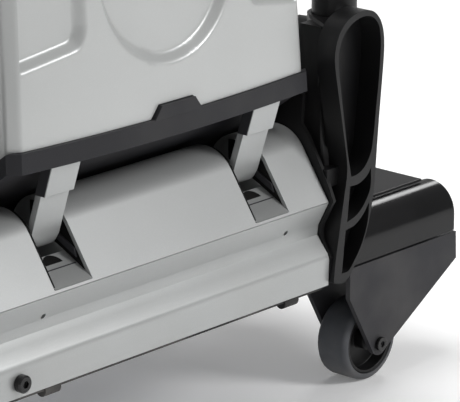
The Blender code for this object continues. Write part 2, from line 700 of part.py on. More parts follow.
def make_bracket():
    panel_back = bracket_front + bracket_depth
    o = plate("side_bracket_right", bracket_outline(), "y", bracket_front, panel_back, black)
    socket_radius = tube_radius + socket_wall
    column = rod("column", "z", (tube_x, tube_y), socket_radius, shelf_z + 6 * MM, column_top, sides=32)
    # The column is faired into the panel's back by a hull over the round head.
    bm = bmesh.new()
    for z in (socket_bottom - 6 * MM, column_top):
        for x, y in arc(tube_x, tube_y, socket_radius, 0, 348.75, 32):
            bm.verts.new((x, y, z))
    for x, z in bracket_outline():
        if 120 * MM < z < column_top:
            bm.verts.new((x + (2 * MM if x < tube_x - 20 * MM else -1 * MM), panel_back - 6 * MM, z))
    hull = bmesh.ops.convex_hull(bm, input=bm.verts)
    bmesh.ops.delete(bm, geom=list(set(hull["geom_interior"] + hull["geom_unused"])), context="VERTS")
    fairing = finish(bm, "fairing", None)
    # Flange that follows the deck's end: along the rail, the lip and the brush cover.
    edge = [(-2, 3), (-2, 25.5), (8, 40), (9, 46), (8, 54), (-4.5, 77.5), (2, 92), (24, 130), (33, 141),
            (31.5, 168), (96, 168), (96, 100), (40, 3)]
    follow = [(y * MM, z * MM) for y, z in edge]
    flange = plate("flange", follow, "x", half + 0.8 * MM, half + 0.8 * MM + flange_wall)
    link = box("link", (half + MM, bracket_front + 5 * MM, 6 * MM), (half + 22 * MM, 20 * MM, 24 * MM))
    neck = box("neck", (half + 2 * MM, 4 * MM, 88 * MM), (half + 30 * MM, 14 * MM, 104 * MM))
    web = box("web", (half + 11.3 * MM, tube_y - tube_radius, 70 * MM),
              (tube_x - tube_radius, tube_y + 4 * MM, column_top - 3 * MM))
    combine(o, [column, fairing, flange, link, neck, web], "UNION")
    depths = (tall_pocket_depth, pocket_depth, pocket_depth)
    pockets = [plate("pocket", line, "y", bracket_front - MM, bracket_front + d)
               for line, d in zip(pocket_outlines(), depths)]
    bore = rod("bore", "z", (tube_x, tube_y), tube_radius + gap, socket_bottom, column_top + 20 * MM)
    thread = rod("thread", "y", (tube_x, knob_z), stud_radius + gap, tube_y, tube_y + 40 * MM, sides=20)
    return combine(o, pockets + [bore, thread])


side_bracket_right = make_bracket()
side_bracket_left = mirrored("side_bracket_left", side_bracket_right, across_x=True)

# Clamp knobs behind the columns hold the handlebar at its height.
knob_back = tube_y + tube_radius + socket_wall
knob_at = (tube_x, knob_z)
knob_start = knob_back + 2 * MM
knob_end = knob_start + 16 * MM
knob_right = rod("clamp_knob_right", "y", knob_at, knob_radius, knob_start, knob_end, black, sides=12)
stud = rod("stud", "y", knob_at, stud_radius, tube_y + tube_radius + gap, knob_start + 2 * MM, sides=20)
combine(knob_right, [stud], "UNION")
knob_left = mirrored("clamp_knob_left", knob_right, across_x=True)
pivot(knob_right, (tube_x, knob_back, knob_z))
pivot(knob_left, (-tube_x, knob_back, knob_z))


# ---------------------------------------------------------------- body
def front_at(x, z, inset):
    """Front of the body at a place, behind the trim's face by an inset."""
    t = (x - body_middle) / body_half_width
    return body_front + body_lean * (z - plan_height) + body_bow * t * t + inset


def rear_at(z, inset):
    """Back of the body at its middle."""
    return machine_back - body_back_slope * (z - trim_bottom) - inset


def ring(z, inset):
    """Plan of the body at a height: bowed front and back, chamfered corners, straight sides."""
    w = body_half_width - inset - body_taper * (z - plan_height)
    front = front_at(body_middle, z, inset)
    rear = rear_at(z, inset)
    steps = [-1 + 2 * i / 14 for i in range(15)]
    line = [(body_middle + t * w, front + body_bow * t * t) for t in steps]
    line.append((body_middle + w + body_bevel, front + body_bow + body_bevel))
    line.append((body_middle + w + body_bevel, rear - body_bow - body_bevel))
    line += [(body_middle - t * w, rear - body_bow * t * t) for t in steps]
    line.append((body_middle - w - body_bevel, rear - body_bow - body_bevel))
    line.append((body_middle - w - body_bevel, front + body_bow + body_bevel))
    return line


def tower(name, low, high, inset, mat=None):
    """Solid between two plans of the body."""
    bm = bmesh.new()
    loops = []
    for z in (low, high):
        verts = [bm.verts.new((x, y, z)) for x, y in ring(z, inset)]
        loops += [bm.edges.new((a, b)) for a, b in zip(verts, verts[1:] + verts[:1])]
    bmesh.ops.bridge_loops(bm, edges=loops)
    bmesh.ops.holes_fill(bm, edges=bm.edges, sides=0)
    return finish(bm, name, mat)


def belly_line(raise_by):
    """Side view of the trough-shaped underside, lifted by a distance."""
    foot_y = belly_edge + belly_drop / belly_slope
    line = [(-200 * MM, trim_bottom), (belly_edge, trim_bottom), (foot_y, belly_bottom)]
    line += flipped(line)
    return [(y, z + raise_by) for y, z in line]


def above(name, raise_by, top=cover_top + 50 * MM):
    line = belly_line(raise_by)
    return plate(name, line + [(line[-1][0], top), (line[0][0], top)], "x", -300 * MM, 300 * MM)


def below(name, raise_by):
    line = belly_line(raise_by)
    return plate(name, line + [(line[-1][0], -50 * MM), (line[0][0], -50 * MM)], "x", -300 * MM, 300 * MM)


low_z = belly_bottom - 20 * MM
body_base = tower("body_base", low_z, trim_bottom + 40 * MM, 0, charcoal)
combine(body_base, [above("keep_low", trim_height)])
combine(body_base, [below("keep_high", 0)])
room = tower("room", low_z - MM, trim_bottom + 41 * MM, body_wall)
combine(room, [below("room_floor", body_wall)])
combine(body_base, [room])
# A raised notch in the middle of the front trim.
notch_top = trim_bottom + trim_height + notch_rise
notch_foot = trim_bottom + trim_height - MM


def notch_line(room):
    """Front view of the notch, wider by a clearance all round."""
    spread = notch_flank / (notch_rise + MM)
    side = [(notch_width / 2 + notch_flank + room * (1 + 3 * spread), notch_foot - 3 * room),
            (notch_width / 2 + room, notch_top + room)]
    return [(body_middle + x, z) for x, z in side] + [(body_middle - x, z) for x, z in reversed(side)]


tab = plate("tab", notch_line(0), "y", body_front - gap, body_front + cover_inset + body_wall)
combine(body_base, [tab], "UNION")

body_cover = tower("body_cover", low_z, cover_top, cover_inset, silver)
combine(body_cover, [below("cover_edge", trim_height + gap)])
inside = tower("inside", low_z - MM, cover_top - body_wall, cover_inset + body_wall)
combine(body_cover, [inside])
combine(body_cover, [plate("notch_room", notch_line(2 * gap), "y", -30 * MM, 8 * MM)])

# Sunk panels in the front of the cover: a round one and two corner panels.
sunk = 2.0 * MM
oval = [(body_middle + oval_radius * math.sin(a), oval_z - oval_radius * math.cos(a))
        for a in (2 * math.pi * i / 40 for i in range(40))]
shapes = [oval]
for sx in (-1, 1):
    shapes.append([(body_middle + sx * x * MM, z * MM) for x, z in
                   ((166, 259), (122, 265), (108, 270), (97, 280), (95, 300), (98, 330), (162, 330))])
for line in shapes:
    middle = sum((Vector(p) for p in line), Vector((0, 0))) / len(line)
    bm = bmesh.new()
    loops = []
    for spread, reach in ((1.0, sunk), (1.35, -8 * MM)):
        grow = [middle + (Vector(p) - middle) * (1 + (spread - 1) * 0.5) for p in line]
        verts = [bm.verts.new((p.x, front_at(*p, cover_inset) + reach, p.y)) for p in grow]
        loops += [bm.edges.new((a, b)) for a, b in zip(verts, verts[1:] + verts[:1])]
    bmesh.ops.bridge_loops(bm, edges=loops)
    bmesh.ops.holes_fill(bm, edges=bm.edges, sides=0)
    bmesh.ops.triangulate(bm, faces=bm.faces)
    combine(body_cover, [finish(bm, "panel", None)])

# Slots for the straps in the underside, openings for the cross beam in the sides.
strap_front = 8 * MM                # upper strap's front face at the height below
strap_front_z = 178 * MM
slots = []
for w in wells:
    half_slot = strap_width / 2 + running_gap
    slots.append(box("slot", (w - half_slot, 5.8 * MM, trim_bottom - 24 * MM),
                     (w + half_slot, 28 * MM, trim_bottom + 3 * MM)))
reach = body_half_width + body_bevel + 80 * MM
beam_room = 2 * MM
beam_slot = ((-reach, beam_front - beam_room, beam_low - beam_room),
             (reach, beam_back + beam_room, beam_high + beam_room))
combine(body_base, slots + [box("beam_slot", *beam_slot)])
combine(body_cover, [box("beam_slot", *beam_slot)])


# ---------------------------------------------------------------- straps between body and deck
def strap_face(z, deeper):
    """Distance from the lip to a strap at a height, behind the upper strap's front face."""
    return strap_front + math.tan(strap_tilt) * (strap_front_z - z) + deeper / math.cos(strap_tilt)


lower_setback = upper_strap_thickness + gap
pin_y = strap_face(strap_foot_z + 2 * MM, lower_setback + lower_strap_thickness) + 4 * MM
pin_z = strap_foot_z + 5 * MM


def strap(name, x, thickness, setback, low, high, mat, hook=False):
    """Flat bar leaning towards the operator; the lower one has an eye for its pin."""
    def face(z, deeper):
        return strap_face(z, setback + deeper)

    outline = [(face(high, 0), high), (face(high, thickness), high)]
    if hook:
        outline += [(face(low + 14 * MM, thickness), low + 14 * MM)]
        outline += arc(pin_y, pin_z, 9.5 * MM, 150, -150, 17)
        outline += [(face(low + 5 * MM, 0), low + 5 * MM)]
    else:
        outline += [(face(low, thickness), low), (face(low, 0), low)]
    o = plate(name, outline, "x", x - strap_width / 2, x + strap_width / 2, mat)
    if hook:
        reach = strap_width / 2 + MM
        combine(o, [rod("eye", "x", (pin_y, pin_z), pin_radius + 2 * gap, x - reach, x + reach, sides=24)])
    return o


for side, w in zip(("left", "right"), wells):
    strap("upper_strap_" + side, w, upper_strap_thickness, 0,
          strap_joint_z, trim_bottom + 1.5 * MM, silver_metal)
    strap("lower_strap_" + side, w, lower_strap_thickness, lower_setback,
          strap_foot_z + 2 * MM, trim_bottom - 6 * MM, silver_metal, hook=True)
pin_reach = well_width / 2 + MM
pins = [rod("pin", "x", (pin_y, pin_z), pin_radius, w - pin_reach, w + pin_reach, sides=20) for w in wells]
combine(deck_shell, pins, "UNION")

# ---------------------------------------------------------------- control housing and tank
housing_top = cover_top + housing_height
top_housing = tower("top_housing", cover_top + gap, housing_top, housing_inset, charcoal)
combine(top_housing, [tower("under", cover_top - MM, housing_top - body_wall, housing_inset + body_wall)])

tank_low = housing_top + gap
tank_high = tank_low + tank_height
solution_tank = tower("solution_tank", tank_low, tank_high, tank_inset, tank_plastic)
combine(solution_tank, [tower("water", tank_low + body_wall, tank_high - body_wall, tank_inset + body_wall)])
mouth_y = (front_at(body_middle, tank_high, tank_inset) + rear_at(tank_high, tank_inset)) / 2
mouth_half_x = 60 * MM
mouth_half_y = 32 * MM
mouth = box("mouth", (body_middle - mouth_half_x, mouth_y - mouth_half_y, tank_high - 10 * MM),
            (body_middle + mouth_half_x, mouth_y + mouth_half_y, tank_high + 10 * MM))
combine(solution_tank, [mouth])

lid_margin = 7 * MM
lid_half_x = mouth_half_x + lid_margin
lid_half_y = mouth_half_y + lid_margin
tank_lid = box("tank_lid", (body_middle - lid_half_x, mouth_y - lid_half_y, tank_high + gap),
               (body_middle + lid_half_x, mouth_y + lid_half_y, tank_high + 7 * MM), charcoal)
soften(tank_lid, 1.5 * MM, 1)
pivot(tank_lid, (body_middle, mouth_y + lid_half_y, tank_high + 4 * MM))

# Rocker switch on the operator's side of the housing.
switch_x = body_middle + 90 * MM
switch_z = cover_top + housing_height / 2
switch_y = front_at(switch_x, switch_z, housing_inset)
switch_room = box("switch_room", (switch_x - 16 * MM, switch_y - 8 * MM, switch_z - 9 * MM),
                  (switch_x + 16 * MM, switch_y + 12 * MM, switch_z + 9 * MM))
combine(top_housing, [switch_room])
rocker = [(switch_y + 6 * MM, switch_z + 7 * MM), (switch_y + 6 * MM, switch_z - 7 * MM),
          (switch_y - 3 * MM, switch_z - 7 * MM), (switch_y - 0.5 * MM, switch_z),
          (switch_y - 0.5 * MM, switch_z + 7 * MM)]
power_switch = plate("power_switch", rocker, "x", switch_x - 14 * MM, switch_x + 14 * MM, gloss)
pivot(power_switch, (switch_x, switch_y + 5 * MM, switch_z))

# Mains inlet at the back of the housing.
inlet_y = rear_at(switch_z, housing_inset)
inlet_x = 14 * MM
inlet_z = 11 * MM
mains_inlet = box("mains_inlet", (body_middle - inlet_x, inlet_y - 22 * MM, switch_z - inlet_z),
                  (body_middle + inlet_x, inlet_y + 3 * MM, switch_z + inlet_z), black)
plug_room = box("plug_room", (body_middle - inlet_x + 3 * MM, inlet_y - 12 * MM, switch_z - inlet_z + 3 * MM),
                (body_middle + inlet_x - 3 * MM, inlet_y + 8 * MM, switch_z + inlet_z - 3 * MM))
combine(mains_inlet, [plug_room])
inlet_room = box("inlet_room", (body_middle - inlet_x - gap, inlet_y - 40 * MM, switch_z - inlet_z - gap),
                 (body_middle + inlet_x + gap, inlet_y + 20 * MM, switch_z + inlet_z + gap))
combine(top_housing, [inlet_room])


# ---------------------------------------------------------------- handlebar
def smooth_route(corners, radius, steps=5):
    """Straight runs joined by round bends of one radius."""
    route = [Vector(corners[0])]
    for a, b, c in zip(corners, corners[1:], corners[2:]):
        a, b, c = Vector(a), Vector(b), Vector(c)
        into, out = (b - a).normalized(), (c - b).normalized()
        turn = into.angle(out)
        cut = radius * math.tan(turn / 2)
        start = b - into * cut
        centre = b + (out - into).normalized() * (radius / math.cos(turn / 2))
        for i in range(steps + 1):
            swing = Matrix.Rotation(turn * i / steps, 4, into.cross(out))
            route.append(centre + swing @ (start - centre))
    route.append(Vector(corners[-1]))
    return route


def tube(name, route, radius, mat=None, resolution=3):
    curve = bpy.data.curves.new(name, "CURVE")
    curve.dimensions = "3D"
    curve.bevel_depth = radius
    curve.bevel_resolution = resolution
    curve.use_fill_caps = True
    line = curve.splines.new("POLY")
    line.points.add(len(route) - 1)
    for point, p in zip(line.points, route):
        point.co = (*p, 1)
    o = bpy.data.objects.new(name, curve)
    cutters.objects.link(o)
    shape = baked(o)
    bpy.data.objects.remove(o, do_unlink=True)
    bm = bmesh.new()
    bm.from_mesh(shape)
    return finish(bm, name, mat)


handle_low = socket_bottom + 2 * MM
bar_y = tube_y - handle_reach
corners = [(tube_x, tube_y, handle_low), (tube_x, tube_y, handle_bend_z), (tube_x, bar_y, handle_top_z),
           (-tube_x, bar_y, handle_top_z), (-tube_x, tube_y, handle_bend_z), (-tube_x, tube_y, handle_low)]
bend = 70 * MM
handlebar = tube("handlebar", smooth_route(corners, bend), tube_radius, black)
inside_route = smooth_route(corners, bend)
inside_route[0].z -= 5 * MM
inside_route[-1].z -= 5 * MM
combine(handlebar, [tube("inside", inside_route, tube_radius - tube_wall)])

grip_end = tube_x - 82 * MM
grip_start = grip_end - grip_length
bar_at = (bar_y, handle_top_z)
grip_radius = tube_radius + grip_wall
grip_right = rod("grip_right", "x", bar_at, grip_radius, grip_start, grip_end, soft_black, sides=40)
combine(grip_right, [rod("bore", "x", bar_at, tube_radius + gap, grip_start - MM, grip_end + MM, sides=40)])
grip_left = mirrored("grip_left", grip_right, across_x=True)

# Spray trigger under the middle of the handlebar, on a mount fixed to the bar.
trigger_z = handle_top_z - tube_radius - 9 * MM
trigger_half = 28 * MM
trigger = [(bar_y + 12 * MM, trigger_z - 4 * MM), (bar_y + 12 * MM, trigger_z + 5 * MM),
           (bar_y - 10 * MM, trigger_z + 3 * MM), (bar_y - 22 * MM, trigger_z - 8 * MM),
           (bar_y - 20 * MM, trigger_z - 11 * MM), (bar_y - 6 * MM, trigger_z - 6 * MM)]
spray_trigger = plate("spray_trigger", trigger, "x", -trigger_half, trigger_half, gloss)
pivot(spray_trigger, (0, bar_y + 8 * MM, trigger_z))
mount_half = trigger_half + 6 * MM
trigger_mount = box("trigger_mount", (-mount_half, bar_y, trigger_z - 5 * MM),
                    (mount_half, bar_y + 17 * MM, handle_top_z - 4 * MM), black)
bar_room = rod("bar_room", "x", bar_at, tube_radius + gap, -mount_half - MM, mount_half + MM, sides=40)
trigger_room = box("trigger_room", (-trigger_half - running_gap, bar_y - 20 * MM, trigger_z - 20 * MM),
                   (trigger_half + running_gap, bar_y + 13.5 * MM, trigger_z + 8 * MM))
combine(trigger_mount, [bar_room, trigger_room])

bpy.context.view_layer.update()
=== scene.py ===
import json
import math

import bmesh
import bpy
from mathutils import Matrix, Vector

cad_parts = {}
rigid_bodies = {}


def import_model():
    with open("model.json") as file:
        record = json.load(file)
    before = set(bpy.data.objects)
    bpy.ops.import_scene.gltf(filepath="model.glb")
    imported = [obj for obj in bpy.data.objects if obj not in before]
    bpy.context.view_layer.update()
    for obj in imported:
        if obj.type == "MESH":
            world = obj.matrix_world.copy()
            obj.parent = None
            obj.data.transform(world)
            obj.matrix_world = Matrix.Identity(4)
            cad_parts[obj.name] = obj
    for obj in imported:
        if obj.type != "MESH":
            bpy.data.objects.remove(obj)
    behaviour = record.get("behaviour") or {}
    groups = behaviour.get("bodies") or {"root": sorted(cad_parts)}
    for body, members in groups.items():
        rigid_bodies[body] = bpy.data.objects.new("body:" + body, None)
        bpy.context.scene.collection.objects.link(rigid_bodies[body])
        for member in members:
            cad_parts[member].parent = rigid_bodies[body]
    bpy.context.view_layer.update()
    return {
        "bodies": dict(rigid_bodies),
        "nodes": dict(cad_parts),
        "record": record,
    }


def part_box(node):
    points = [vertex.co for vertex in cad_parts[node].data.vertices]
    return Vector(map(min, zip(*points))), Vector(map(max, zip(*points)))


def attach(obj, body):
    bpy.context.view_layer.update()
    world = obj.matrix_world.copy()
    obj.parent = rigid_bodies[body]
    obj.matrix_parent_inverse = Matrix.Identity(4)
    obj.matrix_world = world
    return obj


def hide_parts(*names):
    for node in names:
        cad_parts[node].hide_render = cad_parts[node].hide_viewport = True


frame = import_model()
nodes = frame["nodes"]
record = frame["record"]
body_of = {n: b for b, ns in record["behaviour"]["bodies"].items() for n in ns}
for stray in set(bpy.data.objects) - set(nodes.values()) - set(frame["bodies"].values()):
    bpy.data.objects.remove(stray, do_unlink=True)

MM = 0.001
deck_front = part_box("deck_shell")[0].y      # lip of the brush deck
deck_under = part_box("front_rail")[0].z      # underside of the deck

# ---------------------------------------------------------------- studio
# A plain pale floor, one broad soft lamp in front on the right, a weaker one on the left and
# one behind, and a long lens aimed at the lower right of the machine.
view_turn = math.radians(47.96)
view_fall = math.radians(17.1)
aim = Vector((0.1818, -0.0406, 0.1907))
distance = 2.8846
ray = Vector((math.sin(view_turn) * math.cos(view_fall), math.cos(view_turn) * math.cos(view_fall),
              -math.sin(view_fall)))
lens = bpy.data.cameras.new("camera")
lens.lens = 256.54
lens.sensor_width = 36
lens.clip_end = 50
camera = bpy.data.objects.new("camera", lens)
camera.location = aim - ray * distance
camera.rotation_euler = (math.pi / 2 - view_fall, 0, -view_turn)
bpy.context.scene.collection.objects.link(camera)
bpy.context.scene.camera = camera
bpy.context.scene.view_settings.view_transform = "Standard"


def lamp(name, place, width, power):
    light = bpy.data.lights.new(name, "AREA")
    light.shape = "DISK"
    light.size = width
    light.energy = power
    o = bpy.data.objects.new(name, light)
    o.location = place
    o.rotation_euler = (Vector((0, 0, 0.3)) - Vector(place)).to_track_quat("-Z", "Y").to_euler()
    bpy.context.scene.collection.objects.link(o)


lamp("front_lamp", (1.6, -3.0, 2.3), 1.2, 62)
lamp("top_lamp", (-0.2, 0.3, 3.6), 2.0, 62)
lamp("back_lamp", (-1.2, 3.0, 2.6), 1.6, 34)
lamp("edge_lamp", (2.7, 1.2, 2.15), 0.9, 17)

world = bpy.data.worlds.new("studio")
world.use_nodes = True
world.node_tree.nodes["Background"].inputs["Color"].default_value = (1, 1, 1, 1)
world.node_tree.nodes["Background"].inputs["Strength"].default_value = 0.36
bpy.context.scene.world = world


# ---------------------------------------------------------------- welded chassis
# Steel end plates, cross beam and wheel arms, welded and powder coated in black. Hexagon
# socket screws hold the deck's ends to the plates.
class Wire:
    """One output in a node tree. Operators on it add Math nodes."""

    def __init__(self, tree, out):
        self.tree = tree
        self.out = out

    def node(self, kind, settings, values, result=0):
        """Adds any node: its settings first, then the values or links of its sockets."""
        made = self.tree.nodes.new(kind)
        for name, value in settings.items():
            if name == "stops":
                ramp = made.color_ramp.elements
                while len(ramp) < len(value):
                    ramp.new(0.5)
                for element, (place, colour) in zip(ramp, value):
                    element.position = place
                    element.color = (*colour, 1)
            else:
                setattr(made, name, value)
        for socket, value in values.items():
            if isinstance(value, Wire):
                self.tree.links.new(value.out, made.inputs[socket])
            else:
                made.inputs[socket].default_value = value
        return Wire(self.tree, made.outputs[result])

    def calc(self, operation, *values):
        return self.node("ShaderNodeMath", {"operation": operation}, dict(enumerate(values)))

    def __add__(self, other):
        return self.calc("ADD", self, other)

    def __mul__(self, other):
        return self.calc("MULTIPLY", self, other)

    def __sub__(self, other):
        return self.calc("SUBTRACT", self, other)

    def __rsub__(self, other):
        return self.calc("SUBTRACT", other, self)

    __radd__ = __add__
    __rmul__ = __mul__


def noise(place, scale, detail=3.0):
    return place.node("ShaderNodeTexNoise", {}, {"Vector": place, "Scale": scale, "Detail": detail})


def ranged(wire, low, high, start=0.0, end=1.0):
    """A value brought from low..high to start..end, and held there."""
    return wire.node("ShaderNodeMapRange", {}, {0: wire, 1: low, 2: high, 3: start, 4: end})


def tinted(factor, first, second):
    """Colour that goes from the first to the second with a factor."""
    values = {0: factor, 6: first if isinstance(first, Wire) else (*first, 1), 7: (*second, 1)}
    return factor.node("ShaderNodeMix", {"data_type": "RGBA"}, values, 2)


def raised(height, distance, strength=1.0):
    """Normal of a surface with a height in it, in metres."""
    return height.node("ShaderNodeBump", {}, {"Strength": strength, "Distance": distance, "Height": height})


def drawn_out(place, along):
    """Coordinates squeezed along the axes, which draws a pattern out into lines."""
    return place.node("ShaderNodeMapping", {}, {"Vector": place, "Scale": along})


def finish(name, fixed, recipe):
    """A Principled material: fixed inputs, and a recipe for what varies over the surface."""
    made = bpy.data.materials.new(name)
    made.use_nodes = True
    tree = made.node_tree
    shader = tree.nodes["Principled BSDF"]
    for socket, value in fixed.items():
        shader.inputs[socket].default_value = value
    place = Wire(tree, tree.nodes.new("ShaderNodeTexCoord").outputs["Object"])
    for socket, wire in recipe(place).items():
        tree.links.new(wire.out, shader.inputs[socket])
    return made


def dust(place, top):
    """How much dust lies on a piece: most near the floor, none above a height, in patches."""
    height = place.node("ShaderNodeSeparateXYZ", {}, {0: place}, 2)
    return ranged(height, 0.0, top, 1.0, 0.0) * ranged(noise(place, 14), 0.42, 0.7)


def coat_recipe(colour, grain, depth, rough, dusty=0.25):
    """Powder coat: orange-peel bumps, cloudy gloss, a little dust low down."""
    def recipe(place):
        cloud = noise(place, 9)
        base = tinted(ranged(cloud, 0.3, 0.7), colour, [c * 1.35 + 0.002 for c in colour])
        base = tinted(dust(place, 0.5) * dusty, base, (0.17, 0.16, 0.15))
        return {"Base Color": base, "Roughness": ranged(cloud, 0.25, 0.75, rough - 0.05, rough + 0.08),
                "Normal": raised(noise(place, grain, 2.0), depth)}
    return recipe


frame_paint = finish("frame_paint", {"Specular IOR Level": 0.28},
                     coat_recipe((0.005, 0.005, 0.0055), 900, 0.00012, 0.40, 0.1))


def show(name, mesh, coat, body, stands_for=()):
    """Puts a finished mesh in the scene: it rides on a body and may stand for nodes."""
    mesh.materials.clear()
    mesh.materials.append(coat)
    o = bpy.data.objects.new(name, mesh)
    bpy.context.scene.collection.objects.link(o)
    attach(o, body)
    if stands_for:
        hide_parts(*stands_for)
    return o


def plain(o):
    """The object's mesh as its modifiers leave it; the object itself goes."""
    bpy.context.view_layer.update()
    seen = o.evaluated_get(bpy.context.evaluated_depsgraph_get())
    mesh = bpy.data.meshes.new_from_object(seen)
    bpy.data.objects.remove(o, do_unlink=True)
    return mesh


def joined(node):
    """A copy of a node's solid with its loose triangles merged into faces."""
    bm = bmesh.new()
    bm.from_mesh(nodes[node].data)
    bmesh.ops.remove_doubles(bm, verts=bm.verts, dist=0.00001)
    bmesh.ops.dissolve_limit(bm, angle_limit=math.radians(0.8), verts=bm.verts, edges=bm.edges)
    return bm


def rounded(bm, name, width, segments=2, angle=32):
    """A closed mesh with its sharp edges rounded by a width."""
    mesh = bpy.data.meshes.new(name)
    bm.to_mesh(mesh)
    bm.free()
    mesh.shade_smooth()
    o = bpy.data.objects.new(name, mesh)
    bpy.context.scene.collection.objects.link(o)
    bevel = o.modifiers.new("edges", "BEVEL")
    bevel.width = width
    bevel.segments = segments
    bevel.limit_method = "ANGLE"
    bevel.angle_limit = math.radians(angle)
    weighted = o.modifiers.new("normals", "WEIGHTED_NORMAL")
    weighted.mode = "FACE_AREA"
    weighted.weight = 60
    return plain(o)


def prism(line, axis, start, end):
    """A closed solid with an outline across the x or y axis."""
    bm = bmesh.new()
    ends = []
    for along in (start, end):
        spots = [(along, u, v) if axis == "x" else (u, along, v) for u, v in line]
        ends.append([bm.verts.new(p) for p in spots])
        bm.faces.new(ends[-1])
    for i in range(len(line)):
        j = (i + 1) % len(line)
        bm.faces.new((ends[0][i], ends[0][j], ends[1][j], ends[1][i]))
    bmesh.ops.recalc_face_normals(bm, faces=bm.faces)
    return bm


def carved(base, steps):
    """A solid with others joined to it or cut from it, one after another."""
    others = []
    mesh = bpy.data.meshes.new("carved")
    base.to_mesh(mesh)
    o = bpy.data.objects.new("carved", mesh)
    bpy.context.scene.collection.objects.link(o)
    for operation, bm in steps:
        tool = bpy.data.meshes.new("tool")
        bm.to_mesh(tool)
        other = bpy.data.objects.new("tool", tool)
        bpy.context.scene.collection.objects.link(other)
        others.append(other)
        step = o.modifiers.new("step", "BOOLEAN")
        step.operation = operation
        step.solver = "EXACT"
        step.object = other
    mesh = plain(o)
    for other in others:
        bpy.data.objects.remove(other, do_unlink=True)
    bm = bmesh.new()
    bm.from_mesh(mesh)
    bmesh.ops.remove_doubles(bm, verts=bm.verts, dist=0.00002)
    bmesh.ops.dissolve_limit(bm, angle_limit=math.radians(0.8), verts=bm.verts, edges=bm.edges)
    return bm


def dressed(node, coat, width=0.6 * MM, segments=2, angle=32):
    """A node's own solid with rounded edges and a finish."""
    mesh = rounded(joined(node), node + "_finished", width, segments, angle)
    return show(node + "_finished", mesh, coat, body_of[node], [node])


class Repeat:
    """A Geometry Nodes tree with named sizes that grows shapes on a list of points."""

    def __init__(self, name, sizes):
        self.tree = bpy.data.node_groups.new(name, "GeometryNodeTree")
        face = self.tree.interface
        face.new_socket("Geometry", in_out="OUTPUT", socket_type="NodeSocketGeometry")
        face.new_socket("Geometry", in_out="INPUT", socket_type="NodeSocketGeometry")
        self.keys = {}
        for size in sizes:
            self.keys[size] = face.new_socket(size, in_out="INPUT", socket_type="NodeSocketFloat").identifier
        item = face.new_socket("Finish", in_out="INPUT", socket_type="NodeSocketMaterial")
        self.keys["Finish"] = item.identifier
        source = self.tree.nodes.new("NodeGroupInput")
        self.points = Wire(self.tree, source.outputs[0])
        self.size = {s: Wire(self.tree, source.outputs[s]) for s in sizes}
        self.finish = Wire(self.tree, source.outputs["Finish"])

    def end(self, shape):
        """Makes the instances real, sets the material and closes the tree."""
        real = shape.node("GeometryNodeRealizeInstances", {}, {"Geometry": shape})
        done = real.node("GeometryNodeSetMaterial", {}, {"Geometry": real, "Material": self.finish})
        last = self.tree.nodes.new("NodeGroupOutput")
        self.tree.links.new(done.out, last.inputs[0])

    def grow(self, name, places, coat, sizes):
        mesh = bpy.data.meshes.new(name)
        mesh.from_pydata([tuple(p) for p in places], [], [])
        o = bpy.data.objects.new(name, mesh)
        bpy.context.scene.collection.objects.link(o)
        grown = o.modifiers.new("grow", "NODES")
        grown.node_group = self.tree
        for size, value in sizes.items():
            grown[self.keys[size]] = value
        grown[self.keys["Finish"]] = coat
        return plain(o)


# Socket-head screws: a turned head with a rounded rim and a hexagon socket.
screws = Repeat("socket_screws", ["Head Radius", "Head Height", "Socket Radius", "Turn X", "Turn Y"])
head = screws.points.node("GeometryNodeMeshCylinder", {}, {
    "Vertices": 24, "Radius": screws.size["Head Radius"], "Depth": screws.size["Head Height"]})
crown = screws.points.node("GeometryNodeMeshCone", {}, {
    "Vertices": 24, "Radius Bottom": screws.size["Head Radius"],
    "Radius Top": screws.size["Head Radius"] * 0.82, "Depth": screws.size["Head Height"] * 0.25})
lifted = crown.node("ShaderNodeCombineXYZ", {}, {2: screws.size["Head Height"] * 0.5})
crown = crown.node("GeometryNodeTransform", {}, {"Geometry": crown, "Translation": lifted})
key = screws.points.node("GeometryNodeMeshCylinder", {}, {
    "Vertices": 6, "Radius": screws.size["Socket Radius"], "Depth": screws.size["Head Height"]})
sunk = key.node("ShaderNodeCombineXYZ", {}, {2: screws.size["Head Height"] * 0.75})
key = key.node("GeometryNodeTransform", {}, {"Geometry": key, "Translation": sunk})
both = head.node("GeometryNodeMeshBoolean", {"operation": "UNION"}, {"Mesh 2": head})
screws.tree.links.new(crown.out, both.out.node.inputs["Mesh 2"])
cut = both.node("GeometryNodeMeshBoolean", {"operation": "DIFFERENCE"}, {"Mesh 1": both, "Mesh 2": key})
turn = cut.node("ShaderNodeCombineXYZ", {}, {0: screws.size["Turn X"], 1: screws.size["Turn Y"]})
screws.end(cut.node("GeometryNodeInstanceOnPoints", {}, {
    "Points": screws.points, "Instance": cut, "Rotation": turn}))

black_steel = finish("black_steel", {"Specular IOR Level": 0.4},
                     coat_recipe((0.003, 0.003, 0.0034), 420, 0.00006, 0.24, 0.05))


def screw_row(name, places, radius, height, turn_x, turn_y, body="machine"):
    sizes = {"Head Radius": radius, "Head Height": height, "Socket Radius": radius * 0.48,
             "Turn X": turn_x, "Turn Y": turn_y}
    mesh = screws.grow(name, places, black_steel, sizes)
    return show(name, mesh, black_steel, body)


dressed("chassis_frame", frame_paint, 0.9 * MM)
low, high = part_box("deck_end_right")
plate_x = 234.2 * MM
bolt_ys = (low.y + 40 * MM, (low.y + high.y) / 2, high.y - 40 * MM)
for side, name in ((1, "right"), (-1, "left")):
    spots = [(side * (plate_x + 1 * MM), y, deck_under + z) for y in bolt_ys for z in (8 * MM, 55 * MM)]
    screw_row("end_plate_screws_" + name, spots, 5 * MM, 4 * MM, 0, side * math.pi / 2)


